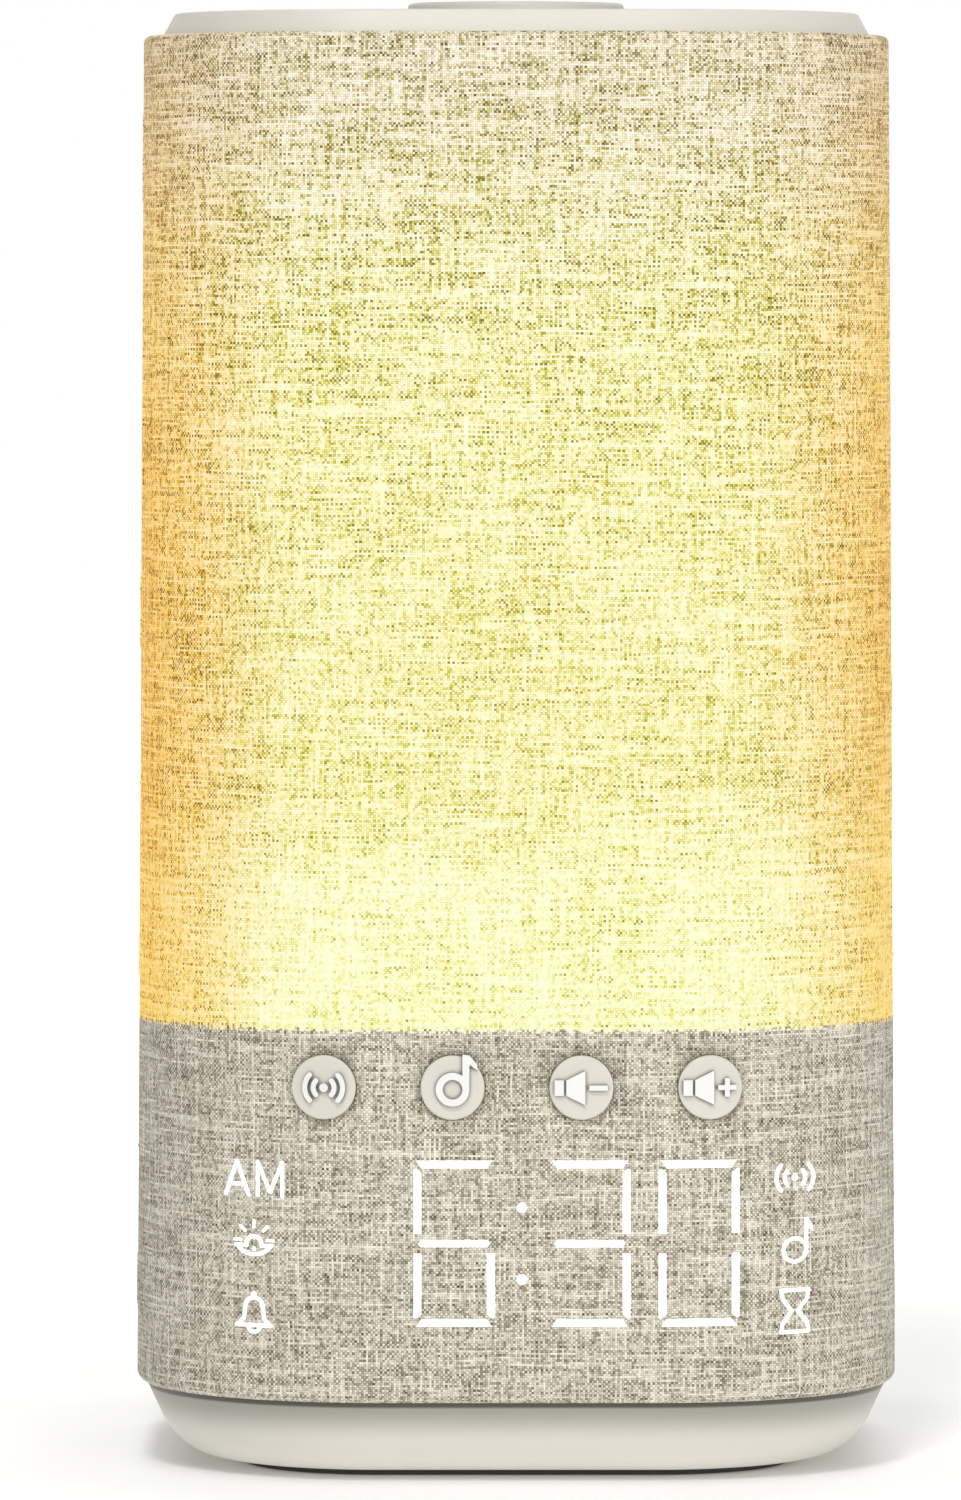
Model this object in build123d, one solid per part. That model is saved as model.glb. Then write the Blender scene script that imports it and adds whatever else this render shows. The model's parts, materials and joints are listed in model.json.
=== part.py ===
from build123d import *
import math
import os

# A sunrise alarm clock: a cloth-covered light column that stands on a moulded base.
# The upper part of the column glows from a ring of lamps on an inner deck. The lower
# part holds the display, four keys, the speaker and the electronics. The lid carries
# a large snooze button and four setting keys.
#
# Millimetres. +Z is up, the display faces -Y, and the origin is on the floor under
# the middle of the body. An "inset" is a distance behind the outer face of the cloth.

# ---------------------------------------------------------------- column and cloth
BODY_WIDTH = 100.0          # across the cloth at its foot
CORNER_RADIUS = 32.0        # plan radius of the corners at the foot
CLOTH_HEIGHT = 176.9        # from the foot to the rim of the cloth
SIDE_LEAN = 1.1             # each side leans in by this much between foot and rim
CLOTH = 0.8                 # thickness of the linen sleeve
FOOT_HEM = 1.6              # outer radius where the cloth turns under the shade
RIM_HEM = 0.9               # outer radius where the cloth turns over the rim
SHADE_WALL = 2.4            # milky tube that carries the cloth
SHELL_FIT = 0.15            # clearance between shells that slot together

# ---------------------------------------------------------------- base and foot
FOOT_PROUD = 1.0            # rubber ring below the base
FOOT_SUNK = 0.8             # rubber ring inside its groove
FOOT_MARGIN = 2.45          # from the edge of the flat underside to the ring
FOOT_RING_WIDTH = 7.5
BASE_HEIGHT = 9.7
BASE_STEP = 1.3             # the base starts this far behind the cloth
BASE_SLOPE = 25.0           # degrees, from the vertical
BASE_ROUND = 9.0            # radius between the sloping side and the underside
BASE_WALL = 2.2
SPIGOT_WALL = 1.6           # ring that locates the shade on the base
SPIGOT_RISE = 2.4
SPIGOT_ROOT = 4.0

# ---------------------------------------------------------------- inner chassis
CHASSIS_WALL = 1.8
CHASSIS_LIFT = 2.6          # chassis rim above the foot of the cloth
DECK_ABOVE_FOOT = 48.2      # lit part of the cloth starts here
DECK_PLATE = 1.5
PILLAR_OUT = 10.0           # pillar axis beyond the centre of the corner radius
PILLAR_RADIUS = 4.0
PILLAR_JOINT = 5.3          # where base post and chassis pillar meet, above the foot
PILLAR_WEB = 2.0
NIB_WIDTH = 10.0            # snap nibs that hold chassis and lid in the shade
NIB_HEIGHT = 2.0
NIB_PROUD = 0.8
NIB_PLAY = 0.3
CHASSIS_NIB_DROP = 6.0      # nib below the deck
POST_RADIUS = 2.2           # small screw posts

# ---------------------------------------------------------------- lid
CAP_HEIGHT = 2.9
CAP_STEP = 2.5              # the lid starts this far behind the cloth
CAP_SLOPE = 28.8            # degrees, from the vertical
CAP_EDGE = 0.5
CAP_PLATE = 2.0
SKIRT_DEPTH = 13.6          # skirt inside the shade, below the rim
SKIRT_WALL = 1.6
LID_NIB_DROP = 9.0          # nib below the rim
REFLECTOR_PLATE = 1.5
REFLECTOR_LIP = 2.5
REFLECTOR_LIP_WALL = 1.2

# ---------------------------------------------------------------- keys and switches
KEY_RADIUS = 4.15
KEY_PROUD = 0.9             # front keys above the cloth
KEY_EDGE = 0.25
KEY_GAP = 0.25              # round each key
KEY_FLANGE = 1.2            # thickness of the collar behind a key
KEY_FLANGE_OUT = 1.05       # collar beyond the key's radius
KEY_REST = 0.1              # play between collar and seat
KEY_TRAVEL = 0.5
KEY_POST = 1.5              # radius of the pusher behind a key
SEAT_ABOVE_BOARD = 7.5      # key seat to the face of the switch board
GUIDE_WALL = 1.0            # guide tube round each front key
ICON_RAISE = 0.6
ICON_SINK = 0.25
KEY_BAND = 8.0              # half the height that trims a front key's face
SWITCH_SIDE = 6.0
SWITCH_HEIGHT = 3.5
SWITCH_FLOOR = 0.5          # below the plunger's bore
PLUNGER_RADIUS = 1.7
PLUNGER_TOP = 5.5           # plunger tip above the board
PLUNGER_FIT = 0.1
KEY_PITCH = 16.6
KEY_DROP = 7.2              # front keys below the top of the deck
LID_KEY_RING = 28.0         # setting keys round the snooze button
LID_KEY_PROUD = 0.3
SNOOZE_RADIUS = 14.35
SNOOZE_PROUD = 1.9
SNOOZE_EDGE = 0.5
SNOOZE_TRAVEL = 0.8
SNOOZE_DISH = 0.35          # depth of the hollow in its face

# ---------------------------------------------------------------- boards
BOARD = 1.6
FRONT_BOARD_DEEP = 16.0     # face of the front board behind the cloth
FRONT_BOARD_SIDE_GAP = 0.6
FRONT_BOARD_LOW = 2.9       # its lower edge above the foot of the cloth
FRONT_BOARD_TOP_GAP = 0.6
MAIN_BOARD_REAR_GAP = 1.4
MAIN_BOARD_FRONT_GAP = 6.4
MAIN_BOARD_SIDE_GAP = 1.3
MAIN_BOARD_SCREW_IN = 3.5
MAIN_BOARD_REAR_SCREW = 13.4
LIGHT_BOARD_RADIUS = 28.0
LIGHT_SCREW_RING = 25.0
CHIP_SIDE = 5.0             # lamps on the light board
CHIP_HEIGHT = 1.6
CHIP_RINGS = ((12, 19.0), (6, 9.5))   # how many lamps, and on which radius
TOP_BOARD_EDGE = 6.0        # board edge inside the skirt
SMALL_SCREW = 1.0           # shank radius of the board screws
SMALL_SCREW_LENGTH = 5.0
SMALL_HEAD = (1.9, 1.4)     # radius, height
BASE_SCREW = 1.5
BASE_SCREW_LENGTH = 12.0
BASE_HEAD = (2.8, 2.2)
BASE_SCREW_SINK = 7.0       # head seat above the underside
DECK_SCREW_LENGTH = 9.0
SCREW_FIT = 0.06            # round a thread in its hole
HOLE_FIT = 0.12             # round a shank in a passing hole
HEAD_FIT = 0.3
SCREW_END = 1.0             # free depth beyond a base screw's tip

# Pieces on the main board, each as x, y, width, depth and height.
RADIO_PLATE = (-12.0, 8.0, 13.0, 18.0, 0.8)
RADIO_SHIELD = (-12.0, 6.0, 11.0, 12.0, 2.6)
CHIPS = ((11.0, 8.0, 9.0, 9.0, 1.4), (10.0, 19.0, 7.0, 7.0, 3.0))
FRONT_CHIPS = ((9.0, 14.0, 6.0, 5.0, 1.6), (-12.0, 12.0, 5.0, 5.0, 1.2))   # y from the front edge
REAR_CAPACITORS = ((-4.0, 21.4), (-12.0, 19.4))   # y from the rear edge
SIDE_CAPACITOR = (5.7, -4.0)                      # x from the right edge
CAPACITOR = (3.0, 8.5)      # radius, height
COIN_CELL = (10.0, 3.2)     # radius, height
COIN_CELL_Y = 6.0
COIN_TRAY = (1.4, 0.8)      # wall, floor
COIN_PLAY = 0.15

# ---------------------------------------------------------------- display
WINDOW_SIDE = 9.0           # display window inside the side of the body
WINDOW_LOW = 6.8            # display window above the foot of the cloth
WINDOW_DROP = 6.2           # display window below the row of keys
WINDOW_PLAY = 0.2
DIGIT_WIDTH = 10.5
DIGIT_MARGIN = 3.25         # window above and below the digits
DIGIT_PITCH = 14.1
COLON_PITCH = 17.5          # between the digits beside the colon
COLON_IN = 8.77             # colon left of the digit on its right
COLON_RISE = 4.65
COLON_RADIUS = 0.69
BAR = 1.04                  # thickness of a digit's bars
LEFT_SIGNS_IN = 7.0         # columns of signs inside the window
RIGHT_SIGNS_IN = 5.0
LAST_DIGIT_IN = 12.5        # last digit left of the right column
HIGH_SIGN_IN = 2.65         # upper and lower signs inside the height of the digits
LOW_SIGN_IN = 1.55
SIGN_STROKE = 0.55
LENS = 1.0
SIGN_BORE = 1.2             # radius of the bore behind each sign
DISPLAY_CHIP = (0.8, 0.6)   # side, height

# ---------------------------------------------------------------- speaker
SPEAKER_LOW = 10.3          # lowest point of the speaker above the foot of the cloth
SPEAKER_DROP = 0.4          # speaker below the deck
SPEAKER_RIM = 2.5           # flange round the speaker's mouth
SPEAKER_SEAT = 0.3
GASKET = 0.8
FRAME_FLANGE = 1.1
BASKET_DEPTH = 9.1
BASKET_WALL = 1.0
PLATE_IN = 6.0              # magnet inside the speaker's radius
MAGNET_DEPTH = 4.5
MAGNET_BORE = 8.0
TOP_PLATE = 1.6
YOKE_PLATE = 1.5
PLATE_STEP = 1.0            # front plate and yoke smaller than the magnet
POLE_RADIUS = 6.0
COIL_RADIUS = (6.3, 6.75)
COIL_PLAY = 0.25            # round the coil in the magnet's gap
SURROUND = 2.1              # roll between the cone and the mouth
CONE_SKIN = 0.5
CONE_TRAVEL = 0.8
CONE_BACK = 1.0             # cone's edge behind the gasket, beyond its travel
NECK_GAP = 2.6              # from the cone's neck to the basket's floor
DUST_CAP = (1.8, 2.4)       # rise of the dust cap at its shoulder and middle
SPIDER_GAP = 1.2            # spider behind the cone's neck
SPIDER = 0.4
ROLL = 0.7                  # height of the surround's roll
FRAME_STEP = 0.1            # frame's mouth inside the chassis hole
FRAME_BORE = 7.5
BASKET_WINDOW = (9.0, 1.2, 2.4)   # width, margin at the flange, margin at the floor
TAB = (8.0, 2.2)            # solder tab: width, depth behind the flange
TAB_RISE = 0.6              # tab above the frame's lowest point
GRILLE_HOLE = 1.1
GRILLE_PITCH = 3.7
GRILLE_PLAY = 0.2

# ---------------------------------------------------------------- power socket
PORT_ROW = 6.5              # socket axis above the foot of the cloth
SOCKET = (8.94, 3.16)
SOCKET_SKIN = 0.3
SOCKET_LENGTH = 12.0
SOCKET_BACK = 0.4           # mouth behind the bezel's face
SOCKET_PLAY = 0.2
BEZEL_WALL = 1.35
BEZEL_LIP = 1.2
BEZEL_PROUD = 0.8
BEZEL_PLAY = 0.2
TONGUE = (6.7, 0.7)         # width, thickness
TONGUE_ROOT = 6.0           # length of the insulator behind the tongue
TONGUE_BACK = 0.9           # its tip behind the mouth

# ---------------------------------------------------------------- wiring
CABLE = (5.0, 0.8)
CABLE_BEND = 3.0
CABLE_X = 18.5
CABLE_FROM_WALL = 4.0       # the long ribbon inside the back of the chassis
CABLE_JOG = 7.8             # how far it steps forward under the lid board
CABLE_DROPS = (9.0, 20.0)   # below the lid board's socket, where the step starts and ends
SLOT_PLAY = 0.6             # round a ribbon that passes a plate
FRONT_CABLE_X = -10.0
FRONT_CABLE_RUN = 5.0       # straight part of the front board's ribbon
LEAD = 1.2
LEAD_RUN = 6.4
LEAD_SPREAD = 1.5           # each lead beside the speaker's middle
PLUG = (8.0, 4.5, 4.0)      # board sockets: width, depth, height

# ================================================================ derived levels
CORNER_CENTRE = BODY_WIDTH / 2 - CORNER_RADIUS
DRAFT = math.degrees(math.atan(SIDE_LEAN / CLOTH_HEIGHT))
BASE_Z = FOOT_PROUD
FOOT_Z = BASE_Z + BASE_HEIGHT
RIM_Z = FOOT_Z + CLOTH_HEIGHT
DECK_Z = FOOT_Z + DECK_ABOVE_FOOT
DECK_UNDER_Z = DECK_Z - DECK_PLATE
CAP_Z = RIM_Z + CAP_HEIGHT
CAP_UNDER_Z = CAP_Z - CAP_PLATE
SKIRT_Z = RIM_Z - SKIRT_DEPTH
CHASSIS_Z = FOOT_Z + CHASSIS_LIFT
PILLAR_Z = FOOT_Z + PILLAR_JOINT
PILLAR_XY = CORNER_CENTRE + PILLAR_OUT
KEY_Z = DECK_Z - KEY_DROP
WINDOW_LOW_Z = FOOT_Z + WINDOW_LOW
WINDOW_HIGH_Z = KEY_Z - WINDOW_DROP
WINDOW_HALF = BODY_WIDTH / 2 - WINDOW_SIDE
DISPLAY_Z = (WINDOW_LOW_Z + WINDOW_HIGH_Z) / 2
DIGIT_HEIGHT = WINDOW_HIGH_Z - WINDOW_LOW_Z - 2 * DIGIT_MARGIN
LEFT_SIGNS_X = LEFT_SIGNS_IN - WINDOW_HALF
RIGHT_SIGNS_X = WINDOW_HALF - RIGHT_SIGNS_IN
SIGN_RISES = (DIGIT_HEIGHT / 2 - HIGH_SIGN_IN, 0, LOW_SIGN_IN - DIGIT_HEIGHT / 2)
MINUTES_X = RIGHT_SIGNS_X - LAST_DIGIT_IN
TENS_X = MINUTES_X - DIGIT_PITCH
HOURS_X = TENS_X - COLON_PITCH
DIGITS = (("6", HOURS_X), ("3", TENS_X), ("0", MINUTES_X))
SPEAKER_RADIUS = (DECK_UNDER_Z - SPEAKER_DROP - FOOT_Z - SPEAKER_LOW) / 2
SPEAKER_Z = FOOT_Z + SPEAKER_LOW + SPEAKER_RADIUS
SPEAKER_MOUTH = SPEAKER_RADIUS - SPEAKER_RIM
PLATE_RADIUS = SPEAKER_RADIUS - PLATE_IN
CONE_RADIUS = SPEAKER_MOUTH - SURROUND
PORT_Z = FOOT_Z + PORT_ROW
BASE_FLOOR_Z = BASE_Z + BASE_WALL

SHADE_IN = CLOTH + SHADE_WALL
CHASSIS_OUT = SHADE_IN + SHELL_FIT
CHASSIS_IN = CHASSIS_OUT + CHASSIS_WALL
SKIRT_IN = CHASSIS_OUT + SKIRT_WALL

FRONT_BOARD_Y = -(BODY_WIDTH / 2 - FRONT_BOARD_DEEP)
FRONT_BOARD_BACK_Y = FRONT_BOARD_Y + BOARD
KEY_X = [KEY_PITCH * n for n in (-1.5, -0.5, 0.5, 1.5)]
FRONT_SCREW_X = KEY_PITCH
FRONT_LOW_SCREW_Z = CHASSIS_Z + POST_RADIUS
TOP_BOARD_Z = CAP_UNDER_Z - SEAT_ABOVE_BOARD
TOP_BOARD_UNDER_Z = TOP_BOARD_Z - BOARD
MAIN_BOARD_Z = PORT_Z - SOCKET[1] / 2
MAIN_BOARD_UNDER_Z = MAIN_BOARD_Z - BOARD
MAIN_BOARD_HALF = PILLAR_XY - PILLAR_RADIUS - MAIN_BOARD_SIDE_GAP
FAR = BODY_WIDTH            # longer than any cut has to be


# ================================================================ helpers
def half_width(z, inset=0.0):
    """Half the body's width at a height, at an inset behind the cloth."""
    return BODY_WIDTH / 2 - SIDE_LEAN * (z - FOOT_Z) / CLOTH_HEIGHT - inset


def rounded_square(half, z):
    """Plan section. Every section keeps the same corner centres, so walls stay even."""
    return Plane.XY.offset(z) * RectangleRounded(2 * half, 2 * half, half - CORNER_CENTRE)


def column(inset, low, high):
    """A leaning rounded-square block at an inset behind the cloth."""
    return extrude(rounded_square(half_width(low, inset), low), high - low, taper=DRAFT)


def tube(outer, inner, low, high):
    return column(outer, low, high) - column(inner, low, high)


def front_plane(x, y, z):
    """A sketch plane that faces the user: local x to the right, local y up."""
    return Plane(origin=(x, y, z), x_dir=(1, 0, 0), z_dir=(0, -1, 0))


def rear_plane(x, y, z):
    return Plane(origin=(x, y, z), x_dir=(-1, 0, 0), z_dir=(0, 1, 0))


def top_plane(x, y, z):
    return Plane(origin=(x, y, z), x_dir=(1, 0, 0), z_dir=(0, 0, 1))


def underside_plane(x, y, z):
    return Plane(origin=(x, y, z), x_dir=(1, 0, 0), z_dir=(0, 0, -1))


def prism(plane, sketch, low, high):
    """A sketch swept along the plane's own axis from one height to another."""
    return extrude(plane.offset(low) * sketch, high - low)


def rod(plane, radius, low, high):
    return prism(plane, Circle(radius), low, high)


def block(x0, x1, y0, y1, z0, z1):
    middle = ((x0 + x1) / 2, (y0 + y1) / 2, (z0 + z1) / 2)
    return Pos(*middle) * Box(x1 - x0, y1 - y0, z1 - z0)


def stadium(width, height):
    return SlotOverall(width, height)


def together(pieces):
    """Separate solids of one node, kept separate."""
    return Compound(children=[s for piece in pieces for s in piece.solids()])


def merged(pieces):
    """Pieces joined into one body."""
    first, *rest = pieces
    return first + rest


def pillars():
    """Places of the four corner pillars, which the lid's posts share."""
    return [(sx * PILLAR_XY, sy * PILLAR_XY) for sx in (-1, 1) for sy in (-1, 1)]


def screw(plane, shank, length, head):
    """A cross-head screw. The plane lies under the head and points out of it."""
    head_radius, head_height = head
    body = rod(plane, head_radius, 0, head_height) + rod(plane, shank, -length, 0)
    slot = head_radius * 0.3
    cross = Rectangle(head_radius * 1.3, slot) + Rectangle(slot, head_radius * 1.3)
    return body - prism(plane, cross, head_height * 0.4, head_height)


def stroke(points, width):
    """A line of even width with round ends and round corners."""
    pieces = [Pos(*p) * Circle(width / 2) for p in points]
    for (x0, y0), (x1, y1) in zip(points, points[1:]):
        length = math.hypot(x1 - x0, y1 - y0)
        angle = math.degrees(math.atan2(y1 - y0, x1 - x0))
        pieces.append(Pos((x0 + x1) / 2, (y0 + y1) / 2) * Rot(0, 0, angle) * Rectangle(length, width))
    return merged(pieces)


def arc_stroke(centre, radius, start, sweep, width, steps=10):
    """A stroke that follows an arc, in degrees."""
    x, y = centre
    angles = [math.radians(start + sweep * n / steps) for n in range(steps + 1)]
    return stroke([(x + radius * math.cos(a), y + radius * math.sin(a)) for a in angles], width)


def ring(radius, width):
    return Circle(radius + width / 2) - Circle(radius - width / 2)


def outline(*points):
    return make_face(Polyline(*points, close=True))


# ================================================================ signs
# Each sign is drawn in millimetres about its own middle.
def wireless_sign(width):
    """A dot between two pairs of arcs."""
    waves = [arc_stroke((0, 0), r, start, 84, width) for r in (1.35, 2.45) for start in (-42, 138)]
    return merged([Circle(width * 0.85), *waves])


def note_sign(radius, width, stem):
    """A ring with a stem on its right and a flag at the top."""
    side = radius
    flag = outline(
        (side - width / 2, stem), (side + width / 2, stem - 0.1), (side + width * 1.6, stem - 1.25),
        (side + width * 1.7, stem - 2.0), (side + width * 0.6, stem - 1.35), (side - width / 2, stem - 1.35),
    )
    stalk = Pos(side, (stem - 0.1) / 2) * Rectangle(width, stem - 0.1)
    return merged([ring(radius, width), stalk, flag])


def loudspeaker_sign():
    """A small box and a cone, to the left of a plus or a minus."""
    horn = outline((-1.95, 1.0), (0.5, 2.2), (0.5, -2.2), (-1.95, -1.0))
    return Pos(-2.87, 0) * Rectangle(1.2, 2.0) + horn


def volume_sign(louder):
    bars = Pos(2.2, 0) * Rectangle(2.4, 0.65)
    if louder:
        bars += Pos(2.2, 0) * Rectangle(0.65, 2.4)
    return loudspeaker_sign() + bars


def clock_sign(width):
    return ring(2.2, width) + stroke([(0, 1.3), (0, 0), (1.0, -0.6)], width)


def bell_sign(width):
    dome = arc_stroke((0, 0.7), 1.15, 0, 180, width)
    left = stroke([(-1.15, 0.7), (-1.3, -0.8), (-2.1, -1.7)], width)
    right = stroke([(1.15, 0.7), (1.3, -0.8), (2.1, -1.7)], width)
    lip = stroke([(-2.3, -1.75), (2.3, -1.75)], width)
    knob = Pos(0, 2.25) * Circle(width * 0.75)
    clapper = arc_stroke((0, -1.85), 0.75, 180, 180, width)
    return merged([dome, left, right, lip, knob, clapper])


def sunrise_sign(width):
    """Half a sun with rays above a shallow bowl."""
    sun = arc_stroke((0, -0.35), 0.95, 0, 180, width)
    bowl = arc_stroke((0, 1.0), 2.75, 216, 108, width)
    horizon = stroke([(-2.3, -0.6), (-0.95, -0.6)], width) + stroke([(0.95, -0.6), (2.3, -0.6)], width)
    rays = []
    for degrees in (0, 45, 90, 135, 180):
        a = math.radians(degrees)
        rays.append(stroke([(r * math.cos(a), 0.1 + r * math.sin(a)) for r in (1.7, 2.5)], width * 0.8))
    return merged([sun, bowl, horizon, Pos(0, -1.05) * Circle(width * 0.6), *rays])


def hourglass_sign(width):
    sides = []
    for s in (-1, 1):
        points = [(1.8, 2.7), (1.6, 1.6), (0.4, 0), (1.6, -1.6), (1.8, -2.7)]
        sides.append(stroke([(s * x, y) for x, y in points], width))
    caps = [stroke([(-1.8, y), (1.8, y)], width) for y in (2.7, -2.7)]
    return merged([*sides, *caps])


def am_sign(width):
    """The letters A and M: before noon."""
    a = stroke([(-3.7, -2.15), (-2.2, 2.15), (-0.7, -2.15)], width)
    bar = stroke([(-3.1, -0.8), (-1.3, -0.8)], width)
    m = stroke([(0.5, -2.15), (0.5, 2.15), (2.1, -1.7), (3.7, 2.15), (3.7, -2.15)], width)
    return merged([a, bar, m])


# ================================================================ keys
def lid_key_places():
    r = LID_KEY_RING
    return {"clock": (0, -r), "alarm": (-r, 0), "sunrise": (r, 0), "timer": (0, r)}


def key_body(plane, radius, face):
    """Collar, shank and pusher of a key. Heights run from the switch board outwards."""
    collar_top = SEAT_ABOVE_BOARD - KEY_REST
    collar = rod(plane, radius + KEY_FLANGE_OUT, collar_top - KEY_FLANGE, collar_top)
    pusher = rod(plane, KEY_POST, PLUNGER_TOP + KEY_REST / 2, collar_top)
    return rod(plane, radius, collar_top - KEY_FLANGE, face) + collar + pusher


def front_key(x, sign):
    """A key whose face and raised sign follow the curve of the cloth."""
    plane = front_plane(x, FRONT_BOARD_Y, KEY_Z)
    low, high = KEY_Z - KEY_BAND, KEY_Z + KEY_BAND
    body = key_body(plane, KEY_RADIUS, FAR / 2) & column(-KEY_PROUD, low, high)
    seat = FRONT_BOARD_Y - SEAT_ABOVE_BOARD
    rim = [e for e in body.edges() if e.geom_type != GeomType.LINE and (e @ 0.5).Y < seat]
    body = fillet(rim, KEY_EDGE)
    mark = prism(plane, sign, SEAT_ABOVE_BOARD, FAR / 2)
    raised = mark & (column(-KEY_PROUD - ICON_RAISE, low, high) - column(-KEY_PROUD + KEY_EDGE, low, high))
    return body + raised


def lid_key(x, y, sign):
    """A nearly flush setting key with a sunk sign."""
    plane = top_plane(x, y, TOP_BOARD_Z)
    face = SEAT_ABOVE_BOARD + CAP_PLATE + LID_KEY_PROUD
    body = key_body(plane, KEY_RADIUS, face)
    body = fillet(body.edges().sort_by(Axis.Z)[-1:], KEY_EDGE / 2)
    return body - prism(plane, sign, face - ICON_SINK, face + KEY_EDGE)


def snooze_button():
    plane = top_plane(0, 0, TOP_BOARD_Z)
    face = SEAT_ABOVE_BOARD + CAP_PLATE + SNOOZE_PROUD
    body = key_body(plane, SNOOZE_RADIUS, face)
    body = fillet(body.edges().sort_by(Axis.Z)[-1:], SNOOZE_EDGE)
    dish_half = SNOOZE_RADIUS - 2 * SNOOZE_EDGE
    dish_radius = (dish_half ** 2 + SNOOZE_DISH ** 2) / (2 * SNOOZE_DISH)
    return body - Pos(0, 0, TOP_BOARD_Z + face - SNOOZE_DISH + dish_radius) * Sphere(dish_radius)


def switch_body(plane):
    """A square push switch with a blind bore for its plunger."""
    case = prism(plane, Rectangle(SWITCH_SIDE, SWITCH_SIDE), 0, SWITCH_HEIGHT)
    return case - rod(plane, PLUNGER_RADIUS + PLUNGER_FIT, SWITCH_FLOOR, SWITCH_HEIGHT)


def plunger(plane, travel):
    """Starts far enough above the bore's end to travel with its key."""
    low = SWITCH_FLOOR + travel + PLUNGER_FIT
    return rod(plane, PLUNGER_RADIUS, low, PLUNGER_TOP)


def front_switch_planes():
    return [front_plane(x, FRONT_BOARD_Y, KEY_Z) for x in KEY_X]


def lid_switch_planes():
    places = [(0, 0), *lid_key_places().values()]
    return [top_plane(x, y, TOP_BOARD_Z) for x, y in places]


# ================================================================ cloth and shade
def shade_blank():
    """The shade tube before it is hollowed."""
    body = column(CLOTH, FOOT_Z + CLOTH, RIM_Z - CLOTH)
    return fillet(body.faces().sort_by(Axis.Z)[0].edges(), FOOT_HEM - CLOTH)


def key_holes(gap):
    return [rod(plane, KEY_RADIUS + gap, PLUNGER_TOP, FAR / 2) for plane in front_switch_planes()]


def port_hole(play):
    width, height = bezel_neck()
    sketch = stadium(width + 2 * play, height + 2 * play)
    return prism(rear_plane(0, 0, PORT_Z), sketch, CORNER_CENTRE, FAR)


def display_window(play):
    return block(-WINDOW_HALF - play, WINDOW_HALF + play, -FAR, FRONT_BOARD_Y,
                 WINDOW_LOW_Z - play, WINDOW_HIGH_Z + play)


def nib_row(z, inset, width, height, reach):
    """Small blocks on the middle of each side, from an inset outwards."""
    half = half_width(z, inset)
    one = block(-width / 2, width / 2, -half - reach, -half + CHASSIS_WALL / 2, z - height / 2, z + height / 2)
    return [Rot(0, 0, 90 * n) * one for n in range(4)]


def lid_nibs(width, height, reach):
    return nib_row(RIM_Z - LID_NIB_DROP, CHASSIS_OUT, width, height, reach)


def chassis_nibs(width, height, reach):
    """Only the two sides take chassis nibs: keys and speaker fill front and back."""
    row = nib_row(DECK_UNDER_Z - CHASSIS_NIB_DROP, CHASSIS_OUT, width, height, reach)
    return [row[1], row[3]]


def shade_tube():
    body = shade_blank() - column(SHADE_IN, FOOT_Z, RIM_Z)
    body -= key_holes(KEY_GAP + WINDOW_PLAY)
    body -= display_window(WINDOW_PLAY)
    body -= rod(rear_plane(0, 0, SPEAKER_Z), SPEAKER_RADIUS - GRILLE_PLAY, CORNER_CENTRE, FAR)
    body -= port_hole(BEZEL_PLAY)
    pocket = (NIB_WIDTH + 2 * NIB_PLAY, NIB_HEIGHT + 2 * NIB_PLAY, NIB_PROUD + NIB_PLAY)
    return body - lid_nibs(*pocket) - chassis_nibs(*pocket)


def fabric_sleeve():
    """Linen glued round the shade and turned over both of its ends."""
    body = column(0, FOOT_Z, RIM_Z)
    body = fillet(body.faces().sort_by(Axis.Z)[0].edges(), FOOT_HEM)
    body = fillet(body.faces().sort_by(Axis.Z)[-1].edges(), RIM_HEM)
    body -= shade_blank()
    body -= column(SHADE_IN, FOOT_Z, RIM_Z)
    body -= key_holes(KEY_GAP)
    return body - port_hole(0)


# ================================================================ base
def base_bowl(inset, low):
    """The tapering bowl with its rounded lower edge, at an inset inside its skin."""
    top_half = half_width(FOOT_Z, BASE_STEP) - inset
    body = extrude(rounded_square(top_half, FOOT_Z), FOOT_Z - low, dir=(0, 0, -1), taper=BASE_SLOPE)
    return fillet(body.faces().sort_by(Axis.Z)[0].edges(), BASE_ROUND - inset)


def base_flat_half():
    """Half the width of the flat underside."""
    sharp = half_width(FOOT_Z, BASE_STEP) - BASE_HEIGHT * math.tan(math.radians(BASE_SLOPE))
    return sharp - BASE_ROUND * math.tan(math.radians((90 - BASE_SLOPE) / 2))


def foot_ring_blank(low, high):
    outer = base_flat_half() - FOOT_MARGIN
    inner = outer - FOOT_RING_WIDTH
    outside = extrude(rounded_square(outer, low), high - low)
    return outside - extrude(rounded_square(inner, low), high - low)


def foot_ring():
    body = foot_ring_blank(0, FOOT_PROUD + FOOT_SUNK)
    return fillet(body.faces().sort_by(Axis.Z)[0].edges(), FOOT_PROUD * 0.3)


def main_board_screws():
    """Places of the four screws that hold the main board to the base."""
    x = MAIN_BOARD_HALF - MAIN_BOARD_SCREW_IN
    front = main_board_front() + MAIN_BOARD_SCREW_IN
    rear = main_board_rear() - MAIN_BOARD_REAR_SCREW
    return [(sx * x, y) for sx in (-1, 1) for y in (front, rear)]


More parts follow.
